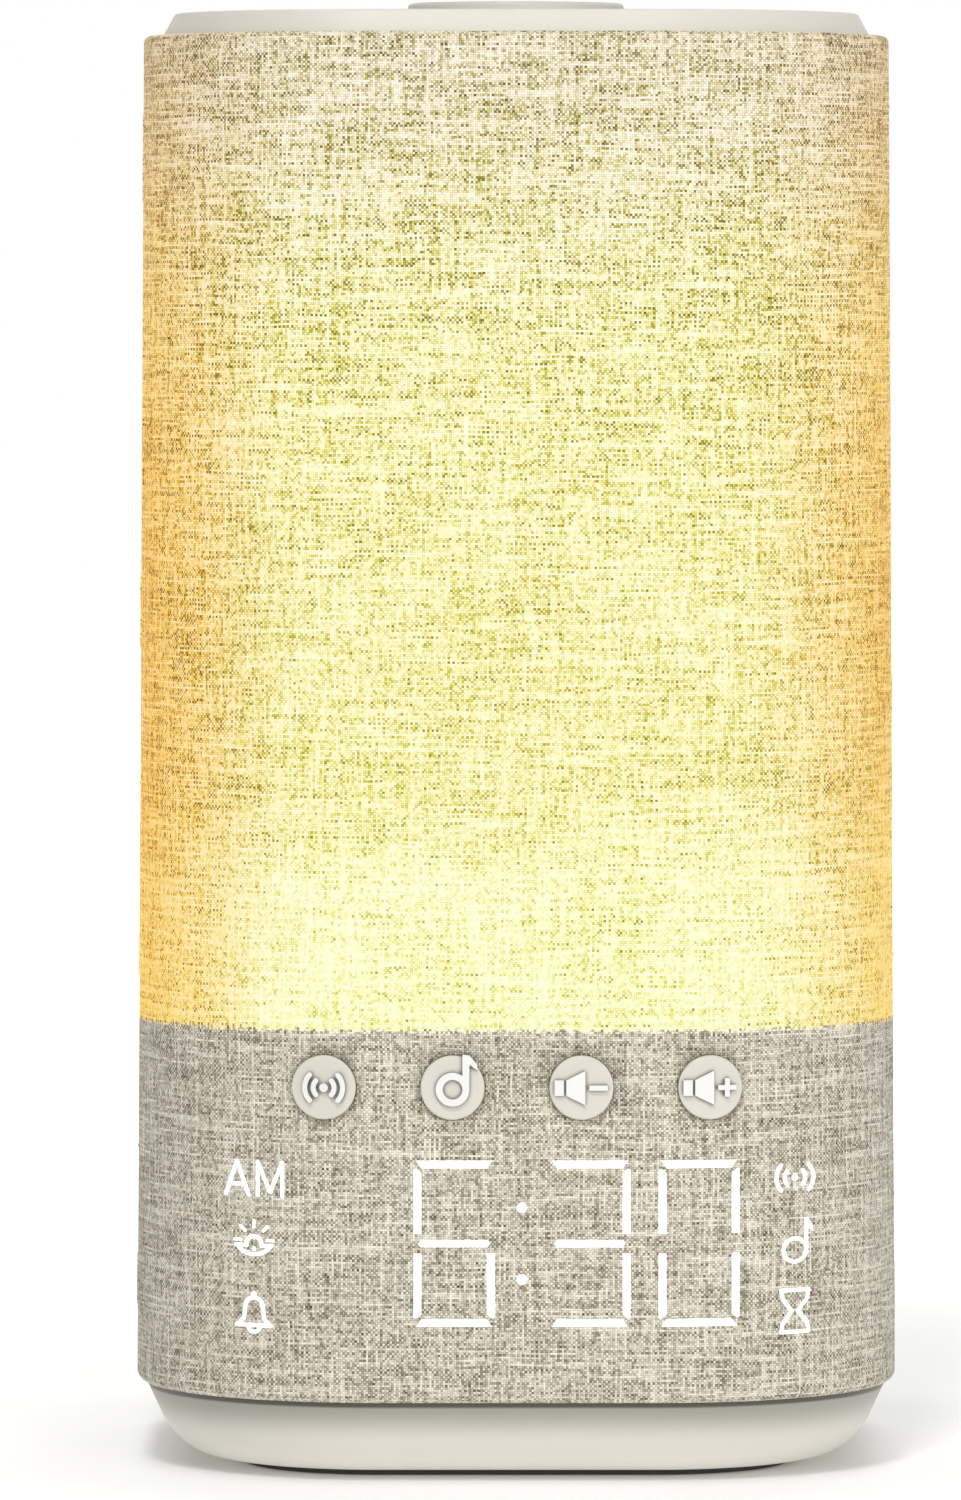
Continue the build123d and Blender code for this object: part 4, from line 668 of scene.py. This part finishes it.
def painted_hem_shade(tree):
    """Painted shade on the base where the sleeve hangs over it, and a painted shadow line there."""
    z = object_axes(tree)[2]
    shade = between(tree, z, foot_z - SHADE_START, foot_z - SHADOW_LINE_START, 0.0, 0.53)
    return sums(tree, "ADD", shade, between(
        tree, z, foot_z - SHADOW_LINE_START, foot_z - SHADOW_LINE_FULL, 0.0, 0.45))


lid_key_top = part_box("clock_key")[1].z / MM
SIGN_TOPS = 1.25            # out from the cloth; between a front key's face and the tops of its signs
CREAM = (215, 212, 202)
finishes = {
    "case_plastic": plastic("case_plastic", CREAM, 0.42),
    # the base's darker mark is painted shade and a painted shadow line under the cloth's hem
    "base_plastic": plastic("base_plastic", CREAM, 0.42, mark=(painted_hem_shade, (70, 67, 60))),
    # the front keys get painted shade in the inner corners round their signs
    "front_keys": plastic("front_keys", (209, 206, 195), 0.38, 0.22,
                          mark=(stands_proud(SIGN_TOPS), (230, 230, 228)), painted_corner_shade=0.7),
    # the darker colour in the sunk signs of the lid keys is painted shade
    "lid_keys": plastic("lid_keys", CREAM, 0.38, 0.22,
                        mark=(lies_below(lid_key_top - 0.12), (150, 146, 136))),
    "snooze": plastic("snooze", (209, 206, 197), 0.4, 0.25),
    "foot_rubber": plastic("foot_rubber", (52, 52, 52), 0.8, 0.5, 0.00004),
    "shade_plastic": plastic("shade_plastic", (244, 240, 226), 0.5, 0.6),
    "white_plastic": plastic("white_plastic", (238, 238, 234), 0.6, 0.35),
    "black_plastic": plastic("black_plastic", (40, 40, 41), 0.5, 0.3),
    "plunger_plastic": plastic("plunger_plastic", (74, 74, 76), 0.5),
    "connector_plastic": plastic("connector_plastic", (228, 222, 202), 0.4),
    "dark_lens": plastic("dark_lens", (176, 174, 168), 0.3, 0.5),
    "lead_red": plastic("lead_red", (176, 34, 30), 0.35),
    "suspension_rubber": plastic("suspension_rubber", (42, 42, 43), 0.7, 0.4, 0.00003),
}
print(len(finishes), "plastics and rubbers")

# %% [markdown]
# ## Metal, boards, paper and cable
# These are inside and show when the clock is opened. Plated sheet has faint drawing lines and
# colour that shifts a little; a circuit board has traces under green lacquer; a pressed-paper cone
# has fibres; a ribbon cable has one ridge for each conductor.

# %% Inner finishes
def drawn_group():
    """Fine lines along one direction, as on drawn or turned metal."""
    tree, feed, out = new_group("drawn", [("Stretch", "Vector", (1.0, 1.0, 1.0))],
                                [("Tone", "Float"), ("Height", "Float")])
    place = add(tree, "ShaderNodeTexCoord").outputs["Object"]
    scaled = vector(tree, "MULTIPLY", place, feed["Stretch"])
    lines = noise(tree, scaled, 1.0, 4.0)
    tree.links.new(between(tree, lines, 0.25, 0.75, 0.82, 1.0), out["Tone"])
    tree.links.new(lines, out["Height"])
    return tree


def speckled_group():
    """Grains or fibres of a size, with a share of them light."""
    tree, feed, out = new_group("speckled", [("Grain", "Float", 0.5), ("Stretch", "Float", 1.0)],
                                [("Mask", "Float"), ("Height", "Float")])
    scaled = object_place(tree)
    stretch = add(tree, "ShaderNodeCombineXYZ", (1.0, feed["Stretch"], 1.0)).outputs[0]
    stretched = vector(tree, "MULTIPLY", scaled, stretch)
    cells = add(tree, "ShaderNodeTexVoronoi", {
        "Vector": stretched, "Scale": sums(tree, "DIVIDE", 1.0, feed["Grain"])})
    tree.links.new(between(tree, cells.outputs["Color"], 0.4, 0.9), out["Mask"])
    tree.links.new(cells.outputs["Distance"], out["Height"])
    return tree


drawn, speckled = drawn_group(), speckled_group()


def metal(name, colour, roughness, stretch):
    material, tree, shader = new_material(name, Metallic=1.0)
    found = use_group(tree, drawn, Stretch=stretch)
    shade = blend_colours(tree, 1.0, linear(*colour), found["Tone"], "MULTIPLY")
    tree.links.new(shade, shader.inputs["Base Color"])
    tree.links.new(times(tree, found["Tone"], roughness), shader.inputs["Roughness"])
    bump(tree, shader, found["Height"], 0.000004)
    return material


def grained(name, colour, light, roughness, grain, stretch=1.0, depth=0.00002):
    material, tree, shader = new_material(name, Roughness=roughness)
    found = use_group(tree, speckled, Grain=grain, Stretch=stretch)
    shade = blend_colours(tree, found["Mask"], linear(*colour), linear(*light))
    tree.links.new(shade, shader.inputs["Base Color"])
    bump(tree, shader, found["Height"], depth)
    return material


def board_material():
    """Green lacquer over copper traces that run in two directions, with plated dots."""
    material, tree, shader = new_material("circuit_board", Roughness=0.35, Coat_Weight=0.4)
    axes = object_axes(tree)
    flat = add(tree, "ShaderNodeCombineXYZ", axes[:]).outputs[0]
    blocks = add(tree, "ShaderNodeTexVoronoi", {"Vector": flat, "Scale": 0.16, "Randomness": 0.7},
                 distance="CHEBYCHEV")
    waves = sums(tree, "FRACT", times(tree, blocks.outputs["Distance"], 9.0))
    trace = between(tree, sums(tree, "ABSOLUTE", sums(tree, "SUBTRACT", waves, 0.5)), 0.12, 0.2, 1.0, 0.0)
    dots = add(tree, "ShaderNodeTexVoronoi", {"Vector": flat, "Scale": 0.45, "Randomness": 0.6})
    dot = between(tree, dots.outputs["Distance"], 0.13, 0.17, 1.0, 0.0)
    green = blend_colours(tree, trace, linear(26, 92, 62), linear(52, 128, 86))
    tree.links.new(blend_colours(tree, dot, green, linear(206, 202, 190)), shader.inputs["Base Color"])
    bump(tree, shader, trace, 0.00003)
    return material


def ribbon_material():
    """Grey ribbon with ridges across its width."""
    material, tree, shader = new_material("cable_grey", Roughness=0.4)
    axes = object_axes(tree)
    ridge = add(tree, "ShaderNodeTexWave", {"Vector": add(tree, "ShaderNodeCombineXYZ", (
        axes[0], 0.0, 0.0)).outputs[0], "Scale": 0.5, "Distortion": 0.0}).outputs["Fac"]
    shade = blend_colours(tree, ridge, linear(140, 140, 144), linear(182, 182, 186))
    tree.links.new(shade, shader.inputs["Base Color"])
    bump(tree, shader, ridge, 0.0001)
    return material


def lamp(name, colour, light, strength):
    """A lamp chip: a speckled phosphor that gives off light."""
    material, tree, shader = new_material(name, Roughness=0.3, Emission_Strength=strength)
    found = use_group(tree, speckled, Grain=0.25)
    shade = blend_colours(tree, found["Mask"], linear(*colour), linear(*light))
    tree.links.new(shade, shader.inputs["Base Color"])
    tree.links.new(shade, shader.inputs["Emission Color"])
    return material


finishes |= {
    "screw_steel": metal("screw_steel", (204, 204, 200), 0.35, (900, 900, 9000)),
    "shield_steel": metal("shield_steel", (216, 216, 214), 0.25, (9000, 500, 500)),
    "capacitor_can": metal("capacitor_can", (222, 222, 224), 0.4, (600, 600, 6000)),
    "coil_copper": metal("coil_copper", (214, 138, 92), 0.3, (300, 5000, 300)),
    "speaker_steel": grained("speaker_steel", (58, 58, 59), (70, 70, 70), 0.4, 0.2),
    "magnet_ferrite": grained("magnet_ferrite", (60, 60, 63), (84, 84, 88), 0.75, 0.35),
    "cone_paper": grained("cone_paper", (50, 50, 50), (78, 76, 72), 0.9, 0.5, 0.3, 0.00005),
    "circuit_board": board_material(),
    "cable_grey": ribbon_material(),
    "warm_lamp": lamp("warm_lamp", (236, 186, 84), (255, 214, 120), 1.5),
    "display_lamp": lamp("display_lamp", (240, 234, 214), (255, 252, 240), 1.0),
    "lit_lens": lamp("lit_lens", (246, 244, 236), (255, 255, 250), 0.8),
}

# %% Dress the frame's nodes
slot_of = {part["node"]: part["material_slot"] for part in frame["record"]["subparts"]}
for name, node in frame["nodes"].items():
    finish = slot_of[name]
    if name in KEY_NAMES:
        finish = "front_keys"
    elif name == "base_cover":
        finish = "base_plastic"
    elif finish == "key_plastic":
        finish = "snooze" if name == "snooze_button" else "lid_keys"
    if finish != "linen":
        node.data.materials.clear()
        node.data.materials.append(finishes[finish])
print("dressed", len(slot_of), "nodes with", len(finishes), "finishes")

# %% [markdown]
# ## Repeated small pieces
# Stitches down the seam, thick yarns in the cloth and the contacts of the socket repeat one shape
# many times. Arrays of copies would be stiff, so each set is grown by a Geometry Nodes tree with
# named inputs, and is then kept as a plain mesh.

# %% Growing helpers
def new_growth(name, inputs):
    """A Geometry Nodes tree with named inputs. Returns it with its inside sources and its sink."""
    tree = bpy.data.node_groups.new(name, "GeometryNodeTree")
    for label, kind, value in inputs:
        socket = tree.interface.new_socket(label, in_out="INPUT", socket_type="NodeSocket" + kind)
        if value is not None:
            socket.default_value = value
    tree.interface.new_socket("Geometry", in_out="OUTPUT", socket_type="NodeSocketGeometry")
    return tree, tree.nodes.new("NodeGroupInput").outputs, tree.nodes.new("NodeGroupOutput").inputs[0]


def finish_growth(tree, geometry, material, sink):
    real = add(tree, "GeometryNodeRealizeInstances", (geometry,)).outputs[0]
    smooth = add(tree, "GeometryNodeSetShadeSmooth", (real,)).outputs[0]
    last = add(tree, "GeometryNodeSetMaterial", {"Geometry": smooth, "Material": material})
    tree.links.new(last.outputs[0], sink)


def grow(name, tree, field=None, **settings):
    """The plain mesh object that a tree makes with these named settings, on a field if it has one."""
    grown = bpy.data.objects.new(name, field or bpy.data.meshes.new(name + "_seed"))
    bpy.context.scene.collection.objects.link(grown)
    modifier = grown.modifiers.new("grow", "NODES")
    modifier.node_group = tree
    for item in tree.interface.items_tree:
        if item.in_out == "INPUT" and item.name in settings:
            modifier[item.identifier] = settings[item.name]
    graph = bpy.context.evaluated_depsgraph_get()
    mesh = bpy.data.meshes.new_from_object(grown.evaluated_get(graph))
    grown.modifiers.clear()
    grown.data = mesh
    mesh.name = name
    print(name, "has", len(mesh.polygons), "faces")
    return grown


# %% [markdown]
# ## Seam at the back
# The sleeve is one cut whose ends meet down the middle of the back. A sewing machine joins them
# with slanting stitches of a pale thread that dip into the cloth at both ends. Each stitch is a
# small arch swept along a curve, turned a little differently from the next.

# %% Seam stitches
def stitch_tree():
    tree, feed, sink = new_growth("stitches", [
        ("Count", "Int", 10), ("Start", "Vector", (0, 0, 0)), ("Step", "Vector", (0, 0, 0.002)),
        ("Length", "Float", 0.002), ("Rise", "Float", 0.0004), ("Thickness", "Float", 0.0002),
        ("Tilt", "Float", 0.4), ("Seed", "Int", 1), ("Material", "Material", None)])
    half = times(tree, feed["Length"], 0.5)
    dip = times(tree, feed["Thickness"], -1.0)
    ends = [add(tree, "ShaderNodeCombineXYZ", (x, dip, 0.0)).outputs[0]
            for x in (times(tree, half, -1.0), half)]
    crown = add(tree, "ShaderNodeCombineXYZ", (0.0, times(tree, feed["Rise"], 2.0), 0.0)).outputs[0]
    arch = add(tree, "GeometryNodeCurveQuadraticBezier", {
        "Resolution": 8, "Start": ends[0], "Middle": crown, "End": ends[1]}).outputs[0]
    ring = add(tree, "GeometryNodeCurvePrimitiveCircle", {
        "Resolution": 8, "Radius": times(tree, feed["Thickness"], 0.5)}).outputs[0]
    stitch = add(tree, "GeometryNodeCurveToMesh", {"Curve": arch, "Profile Curve": ring, "Fill Caps": True})
    places = add(tree, "GeometryNodeMeshLine", {
        "Count": feed["Count"], "Start Location": feed["Start"], "Offset": feed["Step"]}).outputs[0]
    loose = add(tree, "FunctionNodeRandomValue", {"Seed": feed["Seed"]}, data_type="FLOAT")
    loose.inputs[2].default_value, loose.inputs[3].default_value = -0.12, 0.12
    turn = add(tree, "ShaderNodeCombineXYZ", (0.0, sums(tree, "ADD", feed["Tilt"], loose.outputs[1]), 0.0))
    copies = add(tree, "GeometryNodeInstanceOnPoints", {
        "Points": places, "Instance": stitch.outputs[0], "Rotation": turn.outputs[0]}).outputs[0]
    finish_growth(tree, copies, feed["Material"], sink)
    return tree


def thread_material():
    """Spun sewing thread: a slanting twist and a soft sheen."""
    material, tree, shader = new_material("sewing_thread", Roughness=0.7, Sheen_Weight=0.3)
    x, y, z = object_axes(tree)
    turned = add(tree, "ShaderNodeCombineXYZ", (sums(tree, "ADD", x, times(tree, z, 2.0)), 0.0, 0.0))
    twist = add(tree, "ShaderNodeTexWave", {"Vector": turned.outputs[0], "Scale": 3.0, "Distortion": 0.6})
    shade = blend_colours(tree, twist.outputs["Fac"], linear(190, 182, 162), linear(228, 222, 206))
    tree.links.new(shade, shader.inputs["Base Color"])
    bump(tree, shader, twist.outputs["Fac"], 0.00003)
    return material


STITCH_STEP = 2.4
seam_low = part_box("port_bezel")[1].z / MM + 1.5
seam_high = rim_z - 2.5
stitch_count = int((seam_high - seam_low) / STITCH_STEP)
seam_start = wrap(around / 2, seam_low)
seam_end = wrap(around / 2, seam_low + stitch_count * STITCH_STEP)
stitches = grow("seam_stitches", stitch_tree(), Count=stitch_count, Start=seam_start,
                Step=(seam_end - seam_start) / stitch_count, Length=0.0026, Rise=0.00032, Thickness=0.0003,
                Tilt=0.45, Seed=4, Material=thread_material())
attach(stitches, "case")

# %% [markdown]
# ## Thick yarns
# Linen yarn is uneven: here and there a thread swells for some millimetres and stands above the
# weave, along the warp or along the weft. The swellings are spindles strewn over the flat cut from a
# fixed seed. They are wrapped like the cloth and keep their flat place as UV, so they take its
# light. The display's part of the front is left smooth, where a swelling would blur the figures.

# %% Slubs
def slub_tree():
    tree, feed, sink = new_growth("slubs", [
        ("Field", "Geometry", None), ("Density", "Float", 4000.0), ("Length", "Float", 0.008),
        ("Thickness", "Float", 0.0003), ("Seed", "Int", 1), ("Material", "Material", None)])
    half = times(tree, feed["Length"], 0.5)
    both = tree.nodes.new("GeometryNodeJoinGeometry")
    for way in (0, 1):
        ends = []
        for sign in (-1.0, 1.0):
            reach = times(tree, half, sign)
            parts = (reach, 0.0, 0.0) if way == 0 else (0.0, 0.0, reach)
            ends.append(add(tree, "ShaderNodeCombineXYZ", parts).outputs[0])
        line = add(tree, "GeometryNodeCurvePrimitiveLine", {"Start": ends[0], "End": ends[1]}).outputs[0]
        line = add(tree, "GeometryNodeResampleCurve", {"Curve": line, "Count": 11}).outputs[0]
        along = add(tree, "GeometryNodeSplineParameter").outputs["Factor"]
        swell = sums(tree, "SINE", times(tree, along, math.pi))
        radius = sums(tree, "MULTIPLY_ADD", swell, 0.85, 0.15)
        line = add(tree, "GeometryNodeSetCurveRadius", {"Curve": line, "Radius": radius}).outputs[0]
        ring = add(tree, "GeometryNodeCurvePrimitiveCircle", {
            "Resolution": 8, "Radius": times(tree, feed["Thickness"], 0.5)}).outputs[0]
        spindle = add(tree, "GeometryNodeCurveToMesh", {
            "Curve": line, "Profile Curve": ring, "Fill Caps": True}).outputs[0]
        seed = sums(tree, "ADD", feed["Seed"], float(way))
        strewn = add(tree, "GeometryNodeDistributePointsOnFaces", {
            "Mesh": feed["Field"], "Density": feed["Density"], "Seed": seed}).outputs[0]
        size = add(tree, "FunctionNodeRandomValue", {"Seed": seed}, data_type="FLOAT_VECTOR")
        longest = (1.5, 0.7, 1.2) if way == 0 else (1.2, 0.7, 1.5)
        size.inputs[0].default_value, size.inputs[1].default_value = (0.6, 0.45, 0.6), longest
        copies = add(tree, "GeometryNodeInstanceOnPoints", {
            "Points": strewn, "Instance": spindle, "Scale": size.outputs[0]}).outputs[0]
        tree.links.new(copies, both.inputs[0])
    finish_growth(tree, both.outputs[0], feed["Material"], sink)
    return tree


def yarn_field():
    """The part of the flat cut that yarns may swell in, as a mesh in the XZ plane."""
    clear = 9.0             # a yarn's reach, kept from edges and from the display
    display = [corner.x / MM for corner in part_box("display_mask")]
    top = DECK_Z + 3.0
    low, high = foot_z + clear, rim_z - clear
    left_end, right_end = -around / 2 + clear, around / 2 - clear
    strips = [(left_end, display[0] - clear, low, top), (display[1] + clear, right_end, low, top),
              (left_end, right_end, top, high)]
    made = bmesh.new()
    for left, right, bottom, above in strips:
        corners = [(left, bottom), (right, bottom), (right, above), (left, above)]
        made.faces.new([made.verts.new(Vector((x, 0.0, z)) * MM) for x, z in corners])
    mesh = bpy.data.meshes.new("yarn_field")
    made.to_mesh(mesh)
    made.free()
    return mesh


def wrap_mesh(mesh):
    """Wraps a mesh that lies on the flat cut, and keeps its flat place as UV."""
    flat = mesh.uv_layers.new(name="flat")
    for loop in mesh.loops:
        place = mesh.vertices[loop.vertex_index].co / MM
        flat.data[loop.index].uv = (place.x, place.z)
    for corner in mesh.vertices:
        place = corner.co / MM
        corner.co = wrap(place.x, place.z, -place.y)
    mesh.update()


slubs = grow("yarn_slubs", slub_tree(), yarn_field(), Density=2600.0, Length=0.009, Thickness=0.00034,
             Seed=11, Material=sleeve.data.materials[LINEN])
wrap_mesh(slubs.data)
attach(slubs, "case")

# %% [markdown]
# ## Socket contacts
# A reversible power socket has a row of gilt contacts on both faces of its tongue.

# %% Contacts on the tongue
CONTACTS = 6                # on each face


def contact_tree():
    tree, feed, sink = new_growth("contacts", [
        ("Count", "Int", 6), ("Start", "Vector", (0, 0, 0)), ("Step", "Vector", (0.001, 0, 0)),
        ("Across", "Vector", (0, 0, 0.001)), ("Size", "Vector", (0.001, 0.001, 0.001)),
        ("Material", "Material", None)])
    plate = add(tree, "GeometryNodeMeshCube", {"Size": feed["Size"]}).outputs[0]
    rows = []
    for side in (0.5, -0.5):
        start = vector(tree, "ADD", feed["Start"], vector(tree, "SCALE", feed["Across"], Scale=side))
        places = add(tree, "GeometryNodeMeshLine", {
            "Count": feed["Count"], "Start Location": start, "Offset": feed["Step"]}).outputs[0]
        row = add(tree, "GeometryNodeInstanceOnPoints", {"Points": places, "Instance": plate})
        rows.append(row.outputs[0])
    both = tree.nodes.new("GeometryNodeJoinGeometry")
    for row in rows:
        tree.links.new(row, both.inputs[0])
    finish_growth(tree, both.outputs[0], feed["Material"], sink)
    return tree


tongue_low, tongue_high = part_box("power_socket_tongue")
tongue = tongue_high - tongue_low
gilt = metal("gilt", (232, 190, 104), 0.25, (400, 6000, 400))
contact = Vector((tongue.x * 0.07, 1.6 * MM, 0.08 * MM))
contacts = grow("socket_contacts", contact_tree(), Count=CONTACTS,
                Start=Vector((tongue_low.x + tongue.x / CONTACTS / 2, tongue_high.y - 1.3 * MM,
                              (tongue_low.z + tongue_high.z) / 2)),
                Step=Vector((tongue.x / CONTACTS, 0, 0)), Across=Vector((0, 0, tongue.z)), Size=contact,
                Material=gilt)
for face in contacts.data.polygons:
    face.use_smooth = False
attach(contacts, "case")

# %% [markdown]
# ## Studio
# The clock stands on white paper. A broad soft light stands in front of it to the right, so its
# front is evenly lit and its left side turns darker. A small lamp above gives the raised signs
# their shadows, and a soft light above and behind rounds the lid. The sky is white to the camera,
# in gloss and through glass, and dimmer where it lights the clock. The paper also gives off light.
# To the camera, in gloss and through glass there is less of it near the foot, so that the open
# floor turns white and the floor by the foot stays darker: a painted shadow round the foot, over
# the cast one. Every other ray finds one steady level, which acts as a weak lamp that fills the
# base from below.

# %% Floor, sky and lights
def area_light(name, place, size, power, colour=(1.0, 1.0, 1.0), aim=Vector((0, 0, 0.09))):
    data = bpy.data.lights.new(name, "AREA")
    data.shape = "RECTANGLE"
    data.size, data.size_y = size
    data.energy = power
    data.color = colour
    light = bpy.data.objects.new(name, data)
    light.location = Vector(place)
    light.rotation_euler = (aim - light.location).to_track_quat("-Z", "Y").to_euler()
    bpy.context.scene.collection.objects.link(light)
    return light


def background_ray(tree):
    """1 for a ray that shows the background: from the camera, in gloss or through glass."""
    rays = add(tree, "ShaderNodeLightPath").outputs
    return sums(tree, "MAXIMUM", rays["Is Camera Ray"], sums(
        tree, "MAXIMUM", rays["Is Glossy Ray"], rays["Is Transmission Ray"]))


# Strength of the paper's own light over a distance: from, to (in metres), start and end. The low
# strength by the foot paints a shadow round it.
PAINTED_FOOT_SHADOW = (0.0225, 0.035, 0.035, 0.37)
PAST_THE_FOOT = (0.035, 0.070, 0.0, 0.08)
OPEN_FLOOR = (0.10, 0.5, 0.0, 0.7)


def floor_material():
    material, tree, shader = new_material("white_paper", Roughness=0.95)
    shader.inputs["Specular IOR Level"].default_value = 0.0
    place = add(tree, "ShaderNodeTexCoord").outputs["Object"]
    grain = noise(tree, place, 900.0)
    shade = between(tree, grain, 0.3, 0.7, 0.79, 0.81)
    tree.links.new(add(tree, "ShaderNodeCombineColor", (shade, shade, shade)).outputs[0],
                   shader.inputs["Base Color"])
    folded = vector(tree, "ABSOLUTE", place)
    corner = vector(tree, "SUBTRACT", folded, (CORNER_CENTRE * MM, CORNER_CENTRE * MM, 1.0))
    corner = vector(tree, "MAXIMUM", corner, (0.0, 0.0, 0.0))
    out = add(tree, "ShaderNodeVectorMath", (corner,), operation="LENGTH").outputs["Value"]
    away = add(tree, "ShaderNodeVectorMath", (place,), operation="LENGTH").outputs["Value"]
    # less of the paper's own light by the foot: a painted shadow round it
    near = sums(tree, "ADD", between(tree, out, *PAINTED_FOOT_SHADOW), between(tree, out, *PAST_THE_FOOT))
    lift = sums(tree, "ADD", near, between(tree, away, *OPEN_FLOOR))
    lift = add(tree, "ShaderNodeMix", (background_ray(tree), None, FLOOR_BOUNCE, lift)).outputs[0]
    tree.links.new(lift, shader.inputs["Emission Strength"])
    shader.inputs["Emission Color"].default_value = (1, 1, 1, 1)
    return material


FLOOR_BOUNCE = 0.42         # how strongly the paper's own light fills the clock from below
SKY = 0.3                   # how strongly the sky lights the clock

paper = bmesh.new()
bmesh.ops.create_grid(paper, x_segments=8, y_segments=8, size=4.0)
paper_mesh = bpy.data.meshes.new("floor")
paper.to_mesh(paper_mesh)
paper.free()
floor = bpy.data.objects.new("floor", paper_mesh)
floor.data.materials.append(floor_material())
bpy.context.scene.collection.objects.link(floor)
floor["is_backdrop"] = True

world = bpy.data.worlds.new("sky")
world.use_nodes = True
sky = world.node_tree
strength = between(sky, background_ray(sky), 0.0, 1.0, SKY, 1.0)
sky.links.new(strength, sky.nodes["Background"].inputs["Strength"])
sky.nodes["Background"].inputs["Color"].default_value = (1, 1, 1, 1)
bpy.context.scene.world = world

area_light("front", (0.66, -1.5, 0.45), (1.4, 0.9), 9.2, (1.0, 0.99, 0.975))
area_light("above", (-0.12, -0.85, 1.02), (0.2, 0.2), 5.8, (1.0, 0.995, 0.985))
area_light("behind", (0.1, 0.9, 1.5), (1.0, 1.0), 5.5, (1.0, 0.995, 0.985))

# %% Size of the frame and of the dressed scene
size = {"cad": [list(corner) for corner in cad_box], "dressed": [list(corner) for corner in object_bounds()]}
print("size", [[round(v / MM, 2) for v in corner] for pair in size.values() for corner in pair])
